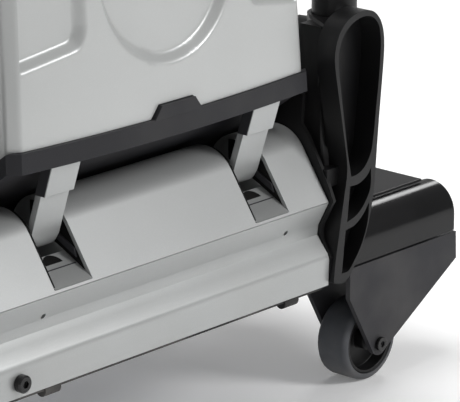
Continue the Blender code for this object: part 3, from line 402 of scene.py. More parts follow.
# ---------------------------------------------------------------- deck end plates
# Laser-cut steel plates with ground faces that carry the brush shafts in plain bores.
def ground_recipe(colour, along):
    """Fine grinding lines along one axis, with faint stains."""
    def recipe(place):
        lines = noise(drawn_out(place, along), 60, 6.0)
        cloud = noise(place, 7)
        return {"Base Color": tinted(ranged(cloud, 0.3, 0.75), colour, [c * 0.78 for c in colour]),
                "Roughness": ranged(lines, 0.3, 0.7, 0.24, 0.42),
                "Normal": raised(lines, 0.00003)}
    return recipe


steel = finish("ground_steel", {"Metallic": 1.0}, ground_recipe((0.45, 0.45, 0.46), (1, 1, 12)))
for node in ("deck_end_right", "deck_end_left"):
    dressed(node, steel, 0.3 * MM)

# ---------------------------------------------------------------- brushes
# Two cylindrical brushes: a black core with end collars and a belt pulley, and rows of blue
# nylon tufts set in a slow helix round it.
core_paint = finish("brush_core", {}, coat_recipe((0.02, 0.02, 0.022), 500, 0.0001, 0.5, 0.4))


def tuft_recipe(place):
    """Nylon filaments: each tuft a little lighter or darker."""
    shade = noise(place, 160, 1.0)
    return {"Base Color": tinted(ranged(shade, 0.3, 0.7), (0.035, 0.085, 0.22), (0.10, 0.19, 0.38)),
            "Roughness": ranged(shade, 0.3, 0.7, 0.45, 0.62)}


nylon = finish("nylon", {"Sheen Weight": 0.25}, tuft_recipe)

field = Repeat("bristle_field", ["Core Radius", "Reach", "Start", "Pitch", "Rows", "Twist", "Tuft Radius"])
count = field.points.node("GeometryNodeInputIndex", {}, {})
lane = count.calc("FLOORED_MODULO", count, field.size["Rows"])
step = count.calc("FLOOR", count.calc("DIVIDE", count, field.size["Rows"]))
jitter = count.node("FunctionNodeRandomValue", {"data_type": "FLOAT"}, {2: -0.5, 3: 0.5, "Seed": 7}, 1)
angle = (lane.calc("DIVIDE", lane, field.size["Rows"]) * (2 * math.pi) + step * field.size["Twist"]
         + jitter * 0.03)
side_y = angle.calc("COSINE", angle)
side_z = angle.calc("SINE", angle)
middle = (field.size["Core Radius"] + field.size["Reach"]) * 0.5
along = field.size["Start"] + (step + jitter * 0.5) * field.size["Pitch"]
seat = along.node("ShaderNodeCombineXYZ", {}, {0: along, 1: side_y * middle, 2: side_z * middle})
outward = along.node("ShaderNodeCombineXYZ", {}, {0: jitter * 0.12, 1: side_y, 2: side_z})
tuft = field.points.node("GeometryNodeMeshCone", {}, {
    "Vertices": 5, "Radius Bottom": field.size["Tuft Radius"], "Radius Top": field.size["Tuft Radius"] * 1.5,
    "Depth": field.size["Reach"] - field.size["Core Radius"]})
lean = outward.node("FunctionNodeAlignRotationToVector", {"axis": "Z"}, {"Vector": outward})
placed = field.points.node("GeometryNodeSetPosition", {}, {"Geometry": field.points, "Position": seat})
field.end(placed.node("GeometryNodeInstanceOnPoints", {}, {
    "Points": placed, "Instance": tuft, "Rotation": lean}))


def turned(profile, centre, steps=64):
    """A closed shape of (radius, along) points turned about a line along x through a centre."""
    bm = bmesh.new()
    rings = []
    for r, a in profile:
        if r == 0:
            rings.append([bm.verts.new((0, 0, a))])
        else:
            turns = (2 * math.pi * i / steps for i in range(steps))
            rings.append([bm.verts.new((r * math.cos(t), r * math.sin(t), a)) for t in turns])
    loops = list(zip(rings, rings[1:]))
    if profile[0][0] and profile[-1][0]:
        loops.append((rings[-1], rings[0]))
    for first, second in loops:
        for i in range(steps):
            j = (i + 1) % steps
            corners = [first[i % len(first)], first[j % len(first)],
                       second[j % len(second)], second[i % len(second)]]
            bm.faces.new(list(dict.fromkeys(corners)))
    way = Matrix(((0, 0, 1), (1, 0, 0), (0, 1, 0)))
    bmesh.ops.transform(bm, matrix=Matrix.Translation(centre) @ way.to_4x4(), verts=bm.verts)
    bmesh.ops.recalc_face_normals(bm, faces=bm.faces)
    return bm


rows = 26
pitch = 4.6 * MM
core = 22 * MM
shaft = 8 * MM
pulley = 13 * MM
collar = 26 * MM
for node in ("front_brush", "rear_brush"):
    low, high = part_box(node)
    centre = Vector((0, (low.y + high.y) / 2, (low.z + high.z) / 2))
    reach = (high.z - low.z) / 2
    start, end = low.x, high.x
    face = start + 27 * MM
    profile = [
        (0, start), (shaft, start), (pulley, start + 3 * MM), (pulley, start + 13 * MM),
        (shaft, start + 13 * MM), (shaft, face), (collar, face), (collar, face + 4 * MM),
        (core, face + 4 * MM), (core, end - 14 * MM), (collar, end - 14 * MM), (collar, end - 10 * MM),
        (shaft, end - 10 * MM), (shaft, end), (0, end)]
    mesh = rounded(turned(profile, centre), node + "_core", 0.5 * MM)
    show(node + "_core", mesh, core_paint, node, [node])
    length = end - start - 50 * MM
    tufts = int(length / pitch)
    mesh = field.grow(node + "_tufts", [(0, 0, 0)] * (rows * tufts), nylon, {
        "Core Radius": core - 1 * MM, "Reach": reach - 0.3 * MM, "Start": face + 7 * MM, "Pitch": pitch,
        "Rows": rows, "Twist": 0.06 if node == "front_brush" else -0.06, "Tuft Radius": 1.1 * MM})
    mesh.transform(Matrix.Translation(centre))
    show(node + "_tufts", mesh, nylon, node)

# ---------------------------------------------------------------- brush drive
# Motor, two meshed steel gears and two belts at the deck's left end, in a sheet housing.
rubber = finish("black_rubber", {"Specular IOR Level": 0.3},
                coat_recipe((0.014, 0.014, 0.014), 260, 0.0002, 0.7, 0.5))
moulding = finish("black_moulding", {"Specular IOR Level": 0.25},
                  coat_recipe((0.0045, 0.0045, 0.005), 1300, 0.00007, 0.36, 0.06))
gear_steel = finish("gear_steel", {"Metallic": 1.0}, ground_recipe((0.40, 0.40, 0.41), (14, 1, 1)))
for node in ("drive_gear_front", "drive_gear_rear"):
    dressed(node, gear_steel, 0.2 * MM, 1)
for node in ("drive_belt_front", "drive_belt_rear"):
    dressed(node, rubber, 0.4 * MM)
dressed("drive_motor", moulding, 1.5 * MM, 3)


# ---------------------------------------------------------------- brush covers
# One silver moulding over both brushes, humped over each of them, with two wells in the front
# hump where the straps come down. The drive cover carries on the same section at the left.
def silver_recipe(grain, depth, rough, light, dark):
    """Metallic paint: fine sparkle, slow clouds of tone, faint rubbed lines along the deck."""
    def recipe(place):
        fleck = noise(place, 2600, 1.0)
        cloud = noise(place, 5)
        lines = noise(drawn_out(place, (3, 40, 40)), 4, 4.0)
        base = tinted(ranged(cloud, 0.3, 0.7), light, dark)
        base = tinted(ranged(fleck, 0.55, 0.75) * 0.12, base, (0.9, 0.9, 0.9))
        base = tinted(dust(place, 0.28) * 0.25, base, (0.34, 0.33, 0.31))
        return {"Base Color": base,
                "Roughness": ranged(cloud + lines * 0.4, 0.4, 1.0, rough - 0.05, rough + 0.06),
                "Normal": raised(noise(place, grain, 2.0), depth)}
    return recipe


silver = finish("silver_paint", {"Metallic": 0.35, "Specular IOR Level": 0.5},
                silver_recipe(1500, 0.00005, 0.42, (0.395, 0.403, 0.402), (0.355, 0.363, 0.362)))
dressed("deck_shell", silver, 0.5 * MM, 2, 38)
dressed("drive_cover", silver, 0.8 * MM, 2, 38)

# ---------------------------------------------------------------- strap wells
# In each well a silver wedge rises from the lip, with a seam and a half-round hole, which a black disc fills
# as painted shade. The wall on its right has a black sheet of painted shade for its dark pocket, with a bar
# across it; a black strip of painted shade marks the dark slit along the hump on its left.
# Near-black finish for the pieces that are painted shade: the hole's disc, the pocket's sheet and the slit's
# strip.
seal_rubber = finish("seal_rubber", {"Specular IOR Level": 0.1},
                     coat_recipe((0.0035, 0.0035, 0.0035), 600, 0.0001, 0.6, 0.1))
# Dark grey for the wells' seams and bars, and for the painted shade on the upper straps' left sides.
dark_paint = finish("dark_paint", {"Specular IOR Level": 0.3},
                    coat_recipe((0.022, 0.022, 0.025), 900, 0.0001, 0.5, 0.1))


def in_section(points):
    """Points in millimetres behind the lip and above the deck's underside, as places."""
    return [(deck_front + y * MM, deck_under + z * MM) for y, z in points]


def section_piece(name, points, start, end, edge, coat, segments=2):
    """A rounded piece with an outline across the deck's length, shown on the machine."""
    mesh = rounded(prism(in_section(points), "x", start, end), name, edge, segments)
    show(name, mesh, coat, "machine")


# The hump's round crest, in millimetres behind the lip and above the underside.
hump_y, hump_z, hump_radius = 60, 101, 36
hump_edge = [(0.6, 76.5)]
for i in range(13):
    swing = math.radians(146 - 5.4 * i)
    hump_edge.append((hump_y + hump_radius * math.cos(swing), hump_z + hump_radius * math.sin(swing)))


def inside_hump(depth):
    """The hump's outline moved inwards by a depth in millimetres."""
    first = (hump_edge[0][0] + depth * 0.83, hump_edge[0][1] - depth * 0.56)
    k = 1 - depth / hump_radius
    return [first] + [(hump_y + (y - hump_y) * k, hump_z + (z - hump_z) * k) for y, z in hump_edge[1:]]


wedge = [(1.2, 79.3), (34, 95.7), (34, 79.3)]
seam = [(19, 88.2), (19.8, 88.6), (19.8, 89.0), (19, 88.6)]
cross_bar = [(50, 115.5), (50, 109), (18, 93.2), (20.5, 100.6)]
pocket = [(9.5, 84.0), *inside_hump(3.4)[1:9], (72, 131), (72, 113), (36, 97.2)]
well_half = 21.5 * MM
for side in ("left", "right"):
    low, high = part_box("lower_strap_" + side)
    middle = (low.x + high.x) / 2
    left, right = middle - well_half, middle + well_half
    section_piece("well_wedge_" + side, wedge, left + 0.4 * MM, right - 0.3 * MM, 0.3 * MM,
                  silver)
    # A black disc a millimetre thick sits in the wedge's half-round hole: painted shade of the hole.
    hole = []
    for i in range(13):
        swing = math.pi * i / 12
        y = 24.5 + 9 * math.sin(swing)
        hole.append((middle + (1 + 9.5 * math.cos(swing)) * MM, deck_front + y * MM,
                     deck_under + (79.5 + (y - 1.2) * 0.5) * MM))
    bm = bmesh.new()
    under, over = ([bm.verts.new((x, y, z + lift)) for x, y, z in hole] for lift in (-1 * MM, 0.0))
    bm.faces.new(under)
    bm.faces.new(over)
    for i in range(13):
        j = (i + 1) % 13
        bm.faces.new((under[i], under[j], over[j], over[i]))
    bmesh.ops.recalc_face_normals(bm, faces=bm.faces)
    mesh = bpy.data.meshes.new("well_hole_" + side)
    bm.to_mesh(mesh)
    show("well_hole_" + side, mesh, seal_rubber, "machine")
    section_piece("well_seam_" + side, seam, left + 1 * MM, right - 1 * MM, 0.05 * MM,
                  dark_paint, 1)
    # A thin black sheet over the right wall's pocket: painted shade of the hollow under the hump.
    section_piece("well_pocket_" + side, pocket, right - 0.5 * MM, right - 0.05 * MM, 0.1 * MM,
                  seal_rubber, 1)
    section_piece("well_bar_" + side, cross_bar, right - 2.2 * MM, right - 0.4 * MM, 0.4 * MM,
                  dark_paint)
    # A black strip along the hump's edge on the well's left: painted shade of the dark slit there.
    line = inside_hump(0.1)[:11] + list(reversed(inside_hump(2.4)[:11]))
    section_piece("well_seal_" + side, line, left + 0.1 * MM, left + 2.0 * MM, 0.2 * MM,
                  seal_rubber, 1)

# ---------------------------------------------------------------- bumper rails
# Aluminium sections with a waist, coated in silver, front and back. One black screw and two
# small round holes in the front one.
rail_silver = finish("rail_silver", {"Metallic": 0.45, "Specular IOR Level": 0.5},
                     silver_recipe(700, 0.00004, 0.36, (0.43, 0.44, 0.438), (0.39, 0.40, 0.398)))
for node in ("front_rail", "rear_rail"):
    dressed(node, rail_silver, 0.9 * MM, 3, 28)

low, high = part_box("rail_screw")
screw_at = Vector(((low.x + high.x) / 2, low.y + 3.2 * MM, (low.z + high.z) / 2))
mesh = screws.grow("rail_screw_finished", [screw_at], black_steel, {
    "Head Radius": (high.x - low.x) / 2, "Head Height": 5 * MM, "Socket Radius": 3.4 * MM,
    "Turn X": math.pi / 2, "Turn Y": 0.0})
show("rail_screw_finished", mesh, black_steel, "machine", ["rail_screw"])

# ---------------------------------------------------------------- skirts
# Black rubber strips under the rails with moulded feet.
for node in ("front_skirt", "rear_skirt"):
    dressed(node, rubber, 0.6 * MM)

# ---------------------------------------------------------------- straps
# Flat silver bars from the body to pins in the brush cover's wells, in two lengths that lap.
for node in ("upper_strap_left", "upper_strap_right", "lower_strap_left", "lower_strap_right"):
    dressed(node, rail_silver, 0.5 * MM)


strap_lean = math.radians(18)


def behind_strap(z, depth):
    """Place behind a strap's front face, in millimetres, at a height above the deck."""
    return 8 + (178 - z) * math.tan(strap_lean) + depth / math.cos(strap_lean)


# A dark sheet on the left side of each upper strap: painted shade of that side.
flank = [(behind_strap(z, d), z) for z, d in ((152.5, 0.6), (179.4, 0.6), (179.4, 10.4), (152.5, 10.4))]
for side in ("left", "right"):
    low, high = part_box("upper_strap_" + side)
    section_piece("strap_flank_" + side, flank, low.x - 0.8 * MM, low.x - 0.05 * MM, 0.2 * MM,
                  dark_paint, 1)

# ---------------------------------------------------------------- body base
# Charcoal moulding with a matt grain: the trim band with its notch, and the trough under it.
charcoal = finish("charcoal", {"Specular IOR Level": 0.3},
                  coat_recipe((0.012, 0.012, 0.0145), 1100, 0.00012, 0.52, 0.2))
dressed("body_base", charcoal, 1.0 * MM, 2, 38)

# ---------------------------------------------------------------- body cover
# Thin silver moulding that tapers upwards, with bevelled corners, a round sunk panel in the
# middle of its front and a sunk corner panel on each side. It stands on the base's trim.
middle_x = (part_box("body_cover")[0].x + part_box("body_cover")[1].x) / 2
cover_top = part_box("body_cover")[1].z
half_width = 168 * MM               # of the front face, at the plan's height
plan_z = deck_under + 200 * MM
side_taper = 0.031
lean_back = 0.057
bow = 10 * MM
corner = 9 * MM
front_y = deck_front + 1 * MM
rear_slope = 0.52
rear_y = deck_front + 369 * MM
trim_z = deck_under + 180 * MM
trim_band = 17.5 * MM
belly_fall = 0.727
belly_ledge = deck_front + 16 * MM
belly_low = deck_under + 66 * MM
machine_mid_y = deck_front + 185 * MM
notch_half = 20.6 * MM
notch_flank = 9.6 * MM
notch_top = deck_under + 208.3 * MM


def belly(y):
    """Height of the trough-shaped underside at a place from front to back."""
    from_edge = machine_mid_y - abs(y - machine_mid_y) - belly_ledge
    return max(belly_low, trim_z - max(0.0, from_edge) * belly_fall)


def smooth_between(a, b, blend):
    """The larger of two distances, with the crease between them rounded."""
    mix = max(0.0, min(1.0, 0.5 + 0.5 * (a - b) / blend))
    return b + (a - b) * mix + blend * mix * (1 - mix)


round_radius = 79 * MM
round_z = deck_under + 319 * MM
recess_depth = 8 * MM
recess_bevel = 7.5 * MM
# Corner panels: outlines through these points, measured from the body's middle and the deck.
panel_corners = [
    (-169, 257.5), (-123, 264.5), (-104, 267.5), (-95, 281), (-95, 360), (-160, 366), (-169, 352)]


def round_panel(x, z):
    return math.hypot(x - middle_x, z - round_z) - round_radius


def corner_panel(x, z):
    """Distance outside the corner panels' outline, the same on the left and on the right."""
    px = -abs(x - middle_x)
    pz = z - deck_under
    reach = -1.0
    for (ax, az), (bx, bz) in zip(panel_corners, panel_corners[1:] + panel_corners[:1]):
        edge = Vector((bx - ax, bz - az)).normalized()
        away = edge.y * (px - ax * MM) - edge.x * (pz - az * MM)
        reach = smooth_between(away, reach, 4 * MM)
    return reach


def sunk_by(x, z):
    """Depth of the sunk panels at a place on the front."""
    inside = max(-round_panel(x, z), -corner_panel(x, z))
    ramp = max(0.0, min(1.0, inside / recess_bevel))
    return recess_depth * (ramp * 0.8 + 0.2 * ramp * ramp * (3 - 2 * ramp))


def bent(first, corner_point, last, steps=4):
    """Points of a small round bend at a corner of the plan."""
    for i in range(steps + 1):
        s = i / steps
        yield [(1 - s) ** 2 * a + 2 * s * (1 - s) * b + s * s * c
               for a, b, c in zip(first, corner_point, last)]


def plan(z, front_places, side_places):
    """Plan of the cover at a height, anticlockwise from the front's left end."""
    w = half_width - side_taper * (z - plan_z)
    back = rear_y - rear_slope * (z - trim_z)
    scale = w / half_width
    line = []
    for x in front_places:
        px = middle_x + x * scale
        line.append((px, front_y + lean_back * (z - plan_z) + bow * (x / half_width) ** 2))
    start = front_y + lean_back * (z - plan_z) + bow
    a = (middle_x + w, start)
    b = (middle_x + w + corner, start + corner)
    c = (middle_x + w + corner, back - bow - corner)
    turn = 2.2 * MM
    run = (b[0] - a[0]) / corner
    line += list(bent((a[0] - turn, a[1] - turn * 0.12), a, (a[0] + turn * run, a[1] + turn)))[1:]
    line += list(bent((b[0] - turn, b[1] - turn), b, (b[0], b[1] + turn * 1.4)))
    line += [(b[0], b[1] + turn * 1.4 + (c[1] - b[1] - turn * 1.4) * s) for s in side_places]
    rear = [(middle_x + x * scale, back - bow * (x / half_width) ** 2) for x in reversed(front_places[::4])]
    line += list(bent((b[0], c[1] - turn), c, (b[0] - turn, c[1] + turn)))
    line += rear
    right = line[len(front_places):len(line) - len(rear)]
    line += [(2 * middle_x - x, y) for x, y in reversed(right)]
    return line


columns = 190
front_places = [half_width * (-0.986 + 1.972 * i / columns) for i in range(columns + 1)]
# The columns next to the notch move onto its corners.
for mark in (notch_half, notch_half + notch_flank):
    for sign in (-1, 1):
        nearest = min(range(len(front_places)), key=lambda i: abs(front_places[i] - sign * mark))
        front_places[nearest] = sign * mark
side_places = [i / 34 for i in range(1, 34)]
rows_up = 118


def cover_foot(index):
    """Height of the cover's lower edge in one column."""
    z = trim_z + trim_band
    for i in range(4):
        x, y = line_at(z)[index]
        z = belly(y) + trim_band
    if index < len(front_places):
        off = abs(x - middle_x)
        rise = (notch_top - z) * max(0.0, min(1.0, (notch_half + notch_flank - off) / notch_flank))
        return z + rise
    return z


by_height = {}


def line_at(z):
    """The plan at a height, worked out once for each height."""
    level = round(z, 5)
    if level not in by_height:
        by_height[level] = plan(z, front_places, side_places)
    return by_height[level]


around = len(line_at(trim_z))
by_height.clear()
feet = [cover_foot(index) for index in range(around)]
bm = bmesh.new()
verts = []
for row in range(rows_up + 1):
    ring = []
    for index in range(around):
        z = feet[index] + (cover_top - feet[index]) * row / rows_up
        x, y = line_at(z)[index]
        if index < len(front_places):
            y += sunk_by(x, z)
        ring.append(bm.verts.new((x, y, z)))
    verts.append(ring)
for lower, upper in zip(verts, verts[1:]):
    for i in range(around):
        j = (i + 1) % around
        bm.faces.new((lower[i], lower[j], upper[j], upper[i]))
cover_mesh = bpy.data.meshes.new("body_cover_skin")
bm.to_mesh(cover_mesh)
bm.free()
cover_mesh.shade_smooth()
skin = bpy.data.objects.new("body_cover_skin", cover_mesh)
bpy.context.scene.collection.objects.link(skin)
wall = skin.modifiers.new("wall", "SOLIDIFY")
wall.thickness = 3 * MM
wall.offset = -1
cover_mesh = plain(skin)
cover_mesh.shade_smooth()
cover_mesh.set_sharp_from_angle(angle=math.radians(50))
cover_silver = finish("cover_silver", {"Metallic": 0.35, "Specular IOR Level": 0.5},
                      silver_recipe(1800, 0.00003, 0.36, (0.51, 0.52, 0.515), (0.46, 0.47, 0.465)))
show("body_cover_finished", cover_mesh, cover_silver, "machine", ["body_cover"])

# Cooling louvres across the back of the cover: a row of half-round slats.
slats = Repeat("louvre_slats", ["Slat Radius", "Slat Length"])
slat = slats.points.node("GeometryNodeMeshCylinder", {}, {
    "Vertices": 16, "Radius": slats.size["Slat Radius"], "Depth": slats.size["Slat Length"]})
slat_turn = slat.node("ShaderNodeCombineXYZ", {}, {1: math.pi / 2})
slats.end(slat.node("GeometryNodeInstanceOnPoints", {}, {
    "Points": slats.points, "Instance": slat, "Rotation": slat_turn}))
slat_places = []
for i in range(9):
    z = trim_z + (75 + 11 * i) * MM
    slat_places.append((middle_x, rear_y - rear_slope * (z - trim_z) - 0.6 * MM, z))
louvres = slats.grow("cover_louvres", slat_places, charcoal, {
    "Slat Radius": 2.4 * MM, "Slat Length": 130 * MM})
show("cover_louvres", louvres, charcoal, "machine")

# ---------------------------------------------------------------- control housing
# Charcoal housing on top of the cover with the rocker switch in front and the mains inlet behind.
dressed("top_housing", charcoal, 1.5 * MM, 3, 38)
gloss = finish("gloss_black", {"Specular IOR Level": 0.24},
               coat_recipe((0.003, 0.003, 0.0035), 300, 0.00002, 0.20, 0.03))
dressed("power_switch", gloss, 0.8 * MM, 3)
dressed("mains_inlet", moulding, 0.5 * MM)


# ---------------------------------------------------------------- solution tank
# Milky blow-moulded tank with a hinged charcoal lid.
def milky_recipe(place):
    """Blow-moulded plastic: slow waves in the wall, darker where the tank is filled."""
    height = place.node("ShaderNodeSeparateXYZ", {}, {0: place}, 2)
    waves = noise(place, 18, 2.0)
    base = tinted(ranged(height, 0.58, 0.70), (0.43, 0.48, 0.52), (0.58, 0.62, 0.65))
    base = tinted(ranged(waves, 0.4, 0.8) * 0.3, base, (0.72, 0.76, 0.78))
    return {"Base Color": base, "Roughness": ranged(waves, 0.3, 0.7, 0.28, 0.4),
            "Normal": raised(waves, 0.0006)}


milky = finish("milky_plastic", {"Subsurface Weight": 0.15, "Coat Weight": 0.2}, milky_recipe)
dressed("solution_tank", milky, 5 * MM, 4, 38)
dressed("tank_lid", charcoal, 1.2 * MM, 3)

# ---------------------------------------------------------------- side brackets
# Black glass-filled mouldings beside the deck: a ribbed panel in front, the handle's socket
# behind it and a flange along the deck's end.
deck_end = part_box("deck_shell")[1].x
bracket_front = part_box("side_bracket_right")[0].y
knob_low, knob_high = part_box("clamp_knob_right")
upright = Vector(((knob_low.x + knob_high.x) / 2, deck_front + 40 * MM, 0))
tube_radius = 20 * MM


def flowing(points, steps=4, crease=48):
    """A closed line through points, smooth except where it turns by more than the crease."""
    spots = [Vector(p) for p in points]
    n = len(spots)
    sharp = []
    for i in range(n):
        a, b = spots[i] - spots[i - 1], spots[(i + 1) % n] - spots[i]
        sharp.append(a.angle(b) > math.radians(crease))
    line = []
    for i in range(n):
        p1, p2 = spots[i], spots[(i + 1) % n]
        p0 = p1 * 2 - p2 if sharp[i] else spots[i - 1]
        p3 = p2 * 2 - p1 if sharp[(i + 1) % n] else spots[(i + 2) % n]
        t0 = 0.0
        t1 = t0 + (p1 - p0).length ** 0.5
        t2 = t1 + (p2 - p1).length ** 0.5
        t3 = t2 + (p3 - p2).length ** 0.5
        for k in range(steps):
            t = t1 + (t2 - t1) * k / steps
            a1 = p0 * ((t1 - t) / (t1 - t0)) + p1 * ((t - t0) / (t1 - t0))
            a2 = p1 * ((t2 - t) / (t2 - t1)) + p2 * ((t - t1) / (t2 - t1))
            a3 = p2 * ((t3 - t) / (t3 - t2)) + p3 * ((t - t2) / (t3 - t2))
            b1 = a1 * ((t2 - t) / (t2 - t0)) + a2 * ((t - t0) / (t2 - t0))
            b2 = a2 * ((t3 - t) / (t3 - t1)) + a3 * ((t - t1) / (t3 - t1))
            line.append(b1 * ((t2 - t) / (t2 - t1)) + b2 * ((t - t1) / (t2 - t1)))
    return line


def beside_deck(points):
    """Points in millimetres beyond the deck's end and above its underside, as places."""
    return [(deck_end + x * MM, deck_under + z * MM) for x, z in points]


rib_outline = flowing([
    (0.7, 3), (2.5, 20), (12.5, 73), (17.5, 103), (12.5, 135), (4.5, 175), (0, 198), (-0.5, 210), (3.5, 224),
    (12.5, 235), (25.5, 241), (38.5, 242.5), (51.5, 239), (60.5, 230), (65, 218), (66, 205), (65, 188),
    (60, 140), (56.5, 98), (53.5, 72), (45.5, 42), (33.5, 19), (20.5, 3), (10.5, 0)])
tall_pocket = flowing([
    (23, 95.5), (17.5, 120), (9.5, 168), (5, 195), (4.5, 208), (8.5, 221), (16.5, 230), (27.5, 235.5),
    (39.5, 237), (50.5, 234), (58, 226), (61, 214), (61, 200), (59.5, 180), (55.5, 148), (53, 128),
    (49.5, 112), (41.5, 101), (31.5, 96)])
middle_pocket = flowing([
    (21.5, 87), (33.5, 87), (44.5, 92), (50, 98), (49.5, 80), (42.5, 68), (31.5, 59), (18, 55)])
low_pocket = flowing([
    (16, 48), (28.5, 50), (39.5, 57), (48, 67), (46.5, 50), (39.5, 32), (28.5, 17), (20.5, 9.5), (11.5, 9)])
rib_back = bracket_front + 21 * MM
column_top = deck_under + 231 * MM
column_radius = 24 * MM


def post(radius, bottom, top, sides=64):
    """Upright round solid on the handle tube's axis."""
    turns = (2 * math.pi * i / sides for i in range(sides))
    outline = [(upright.x + radius * math.cos(t), upright.y + radius * math.sin(t)) for t in turns]
    bm = bmesh.new()
    ends = [[bm.verts.new((x, y, z)) for x, y in outline] for z in (bottom, top)]
    bm.faces.new(ends[0])
    bm.faces.new(ends[1])
    for i in range(sides):
        j = (i + 1) % sides
        bm.faces.new((ends[0][i], ends[0][j], ends[1][j], ends[1][i]))
    bmesh.ops.recalc_face_normals(bm, faces=bm.faces)
    return bm


def block(low, high):
    corners = [(low[0], low[2]), (high[0], low[2]), (high[0], high[2]), (low[0], high[2])]
    return prism(corners, "y", low[1], high[1])


fairing = post(column_radius, deck_under + 102 * MM, column_top, 48)
for x, z in beside_deck(rib_outline):
    if deck_under + 120 * MM < z < column_top:
        fairing.verts.new((x + (2 if x < upright.x - 20 * MM else -1) * MM, rib_back - 6 * MM, z))
hull = bmesh.ops.convex_hull(fairing, input=fairing.verts)
bmesh.ops.delete(fairing, geom=list(set(hull["geom_interior"] + hull["geom_unused"])), context="VERTS")
bmesh.ops.dissolve_limit(fairing, angle_limit=math.radians(1), verts=fairing.verts, edges=fairing.edges)
flange = [(-2, 3), (-2, 25.5), (8, 40), (9, 46), (8, 54), (-4.5, 77.5), (2, 92), (24, 130), (33, 141),
          (31.5, 168), (96, 168), (96, 100), (40, 3)]
steps = [
    ("UNION", post(column_radius, deck_under + 54.1 * MM, column_top)),
    ("UNION", fairing),
    ("UNION", prism(in_section(flange), "x", deck_end + 0.8 * MM, deck_end + 4.3 * MM)),
    ("UNION", block((deck_end + 1 * MM, bracket_front + 5 * MM, deck_under + 6 * MM),
                    (deck_end + 22 * MM, deck_front + 20 * MM, deck_under + 24 * MM))),
    ("UNION", block((deck_end + 2 * MM, deck_front + 4 * MM, deck_under + 88 * MM),
                    (deck_end + 30 * MM, deck_front + 14 * MM, deck_under + 104 * MM))),
    ("UNION", block((deck_end + 11.3 * MM, upright.y - 20 * MM, deck_under + 70 * MM),
                    (upright.x - 20 * MM, upright.y + 4 * MM, column_top - 3 * MM)))]
for line, depth in ((tall_pocket, 22), (middle_pocket, 17), (low_pocket, 17)):
    cutter = prism(beside_deck(line), "y", bracket_front - 1 * MM, bracket_front + depth * MM)
    steps.append(("DIFFERENCE", cutter))
steps.append(("DIFFERENCE", post(tube_radius + 0.3 * MM, deck_under + 108 * MM, column_top + 20 * MM)))
bm = carved(prism(beside_deck(rib_outline), "y", bracket_front, rib_back), steps)
right_bracket = rounded(bm, "side_bracket_right_finished", 1.0 * MM, 3, 34)
left_bracket = right_bracket.copy()
left_bracket.transform(Matrix.Scale(-1, 4, (1, 0, 0)))
left_bracket.flip_normals()
for node, mesh in (("side_bracket_right", right_bracket), ("side_bracket_left", left_bracket)):
    show(node + "_finished", mesh, moulding, "machine", [node])
for node in ("clamp_knob_right", "clamp_knob_left"):
    dressed(node, moulding, 1.5 * MM, 3)

# ---------------------------------------------------------------- handlebar
# Bent steel tube in black powder coat that slides in the bracket sockets, with rubber grips
# and the spray trigger under its middle.
bar_low, bar_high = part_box("grip_right")
bar = Vector((0, (bar_low.y + bar_high.y) / 2, (bar_low.z + bar_high.z) / 2))
bend_z = deck_under + 720 * MM
bend_radius = 70 * MM
tube_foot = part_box("handlebar")[0].z
corners = [(upright.x, upright.y, tube_foot), (upright.x, upright.y, bend_z), (upright.x, bar.y, bar.z)]
corners += [(-x, y, z) for x, y, z in reversed(corners)]
route = [Vector(corners[0])]
for a, b, c in zip(corners, corners[1:], corners[2:]):
    a, b, c = Vector(a), Vector(b), Vector(c)
    into, out = (b - a).normalized(), (c - b).normalized()
    swing = into.angle(out)
    start = b - into * bend_radius * math.tan(swing / 2)
    centre = b + (out - into).normalized() * (bend_radius / math.cos(swing / 2))
    for i in range(13):
        route.append(centre + Matrix.Rotation(swing * i / 12, 3, into.cross(out)) @ (start - centre))
route.append(Vector(corners[-1]))
curve = bpy.data.curves.new("handlebar_tube", "CURVE")
curve.dimensions = "3D"
curve.bevel_depth = tube_radius
curve.bevel_resolution = 12
curve.use_fill_caps = True
spline = curve.splines.new("POLY")
spline.points.add(len(route) - 1)
for point, p in zip(spline.points, route):
    point.co = (*p, 1)
o = bpy.data.objects.new("handlebar_tube", curve)
bpy.context.scene.collection.objects.link(o)
mesh = plain(o)
bm = bmesh.new()
bm.from_mesh(mesh)
bmesh.ops.remove_doubles(bm, verts=bm.verts, dist=0.00001)
bmesh.ops.recalc_face_normals(bm, faces=bm.faces)
bm.to_mesh(mesh)
bm.free()
mesh.shade_smooth()
mesh.set_sharp_from_angle(angle=math.radians(40))
show("handlebar_tube", mesh, frame_paint, "handlebar", ["handlebar"])
for node in ("grip_right", "grip_left"):
    dressed(node, rubber, 1.2 * MM, 3)
# Moulded rings round each grip keep the hands from sliding.
ring_set = Repeat("grip_rings", ["Ring Radius", "Bead Radius"])
circle = ring_set.points.node("GeometryNodeCurvePrimitiveCircle", {}, {
    "Resolution": 40, "Radius": ring_set.size["Ring Radius"]})
bead = circle.node("GeometryNodeCurvePrimitiveCircle", {}, {
    "Resolution": 8, "Radius": ring_set.size["Bead Radius"]})
ring_mesh = circle.node("GeometryNodeCurveToMesh", {}, {"Curve": circle, "Profile Curve": bead})
ring_turn = ring_mesh.node("ShaderNodeCombineXYZ", {}, {1: math.pi / 2})
ring_set.end(ring_mesh.node("GeometryNodeInstanceOnPoints", {}, {
    "Points": ring_set.points, "Instance": ring_mesh, "Rotation": ring_turn}))
for side, sign in (("right", 1), ("left", -1)):
    spots = [(sign * (bar_low.x + (12 + 8 * i) * MM), bar.y, bar.z) for i in range(13)]
    mesh = ring_set.grow("grip_rings_" + side, spots, rubber, {
        "Ring Radius": (bar_high.z - bar_low.z) / 2 - 1.3 * MM, "Bead Radius": 1.2 * MM})
    show("grip_rings_" + side, mesh, rubber, "handlebar")
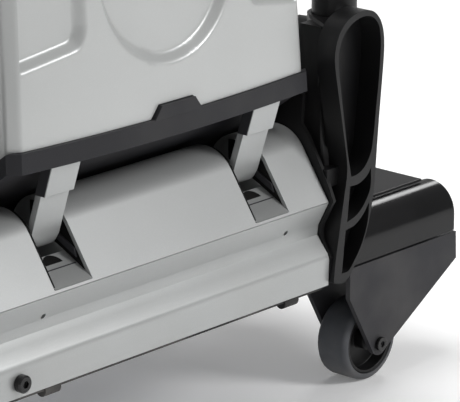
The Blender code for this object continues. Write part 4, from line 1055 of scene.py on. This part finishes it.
dressed("trigger_mount", moulding, 0.8 * MM)
dressed("spray_trigger", gloss, 1.0 * MM, 3)

# ---------------------------------------------------------------- transport wheels
# Each wheel has a pressed hood over its pivot, a welded fork in matt grey-black, a socket-head
# axle bolt, a grey rubber tyre and a black dished hub.
fork_paint = finish("fork_paint", {"Specular IOR Level": 0.3},
                    coat_recipe((0.017, 0.017, 0.020), 1000, 0.00012, 0.55, 0.2))


def tyre_recipe(place):
    """Grey rubber, scuffed on the tread and dusty near the floor."""
    cloud = noise(place, 60)
    base = tinted(ranged(cloud, 0.35, 0.75), (0.062, 0.065, 0.072), (0.088, 0.091, 0.099))
    base = tinted(dust(place, 0.03) * 0.5, base, (0.25, 0.24, 0.22))
    return {"Base Color": base, "Roughness": ranged(cloud, 0.3, 0.7, 0.5, 0.68),
            "Normal": raised(noise(place, 700, 2.0), 0.00012)}


tyre_rubber = finish("grey_rubber", {"Specular IOR Level": 0.35}, tyre_recipe)
for corner_name in ("front_right", "front_left", "rear_right", "rear_left"):
    dressed("wheel_hood_" + corner_name, gloss, 0.6 * MM, 2, 30)
    dressed("wheel_fork_" + corner_name, fork_paint, 0.7 * MM, 2, 30)
    dressed("axle_bolt_" + corner_name, black_steel, 0.5 * MM)
    dressed("wheel_tyre_" + corner_name, tyre_rubber, 0.8 * MM, 2, 50)
    dressed("wheel_hub_" + corner_name, moulding, 0.8 * MM)
for node in ("side_shelf_right", "side_shelf_left"):
    dressed(node, gloss, 0.8 * MM)

# ---------------------------------------------------------------- floor
# Plain pale floor, broad enough to fill the view from every side.
bpy.ops.mesh.primitive_plane_add(size=30, location=(0, 0, 0))
floor = bpy.context.object
floor.name = "floor"


def floor_recipe(place):
    """Near-white floor with the least unevenness."""
    return {"Base Color": tinted(noise(place, 3), (0.93, 0.93, 0.93), (0.95, 0.95, 0.95))}


floor.data.materials.append(finish("floor", {
    "Roughness": 0.9, "Specular IOR Level": 0.1, "Emission Strength": 0.12,
    "Emission Color": (1, 1, 1, 1)}, floor_recipe))
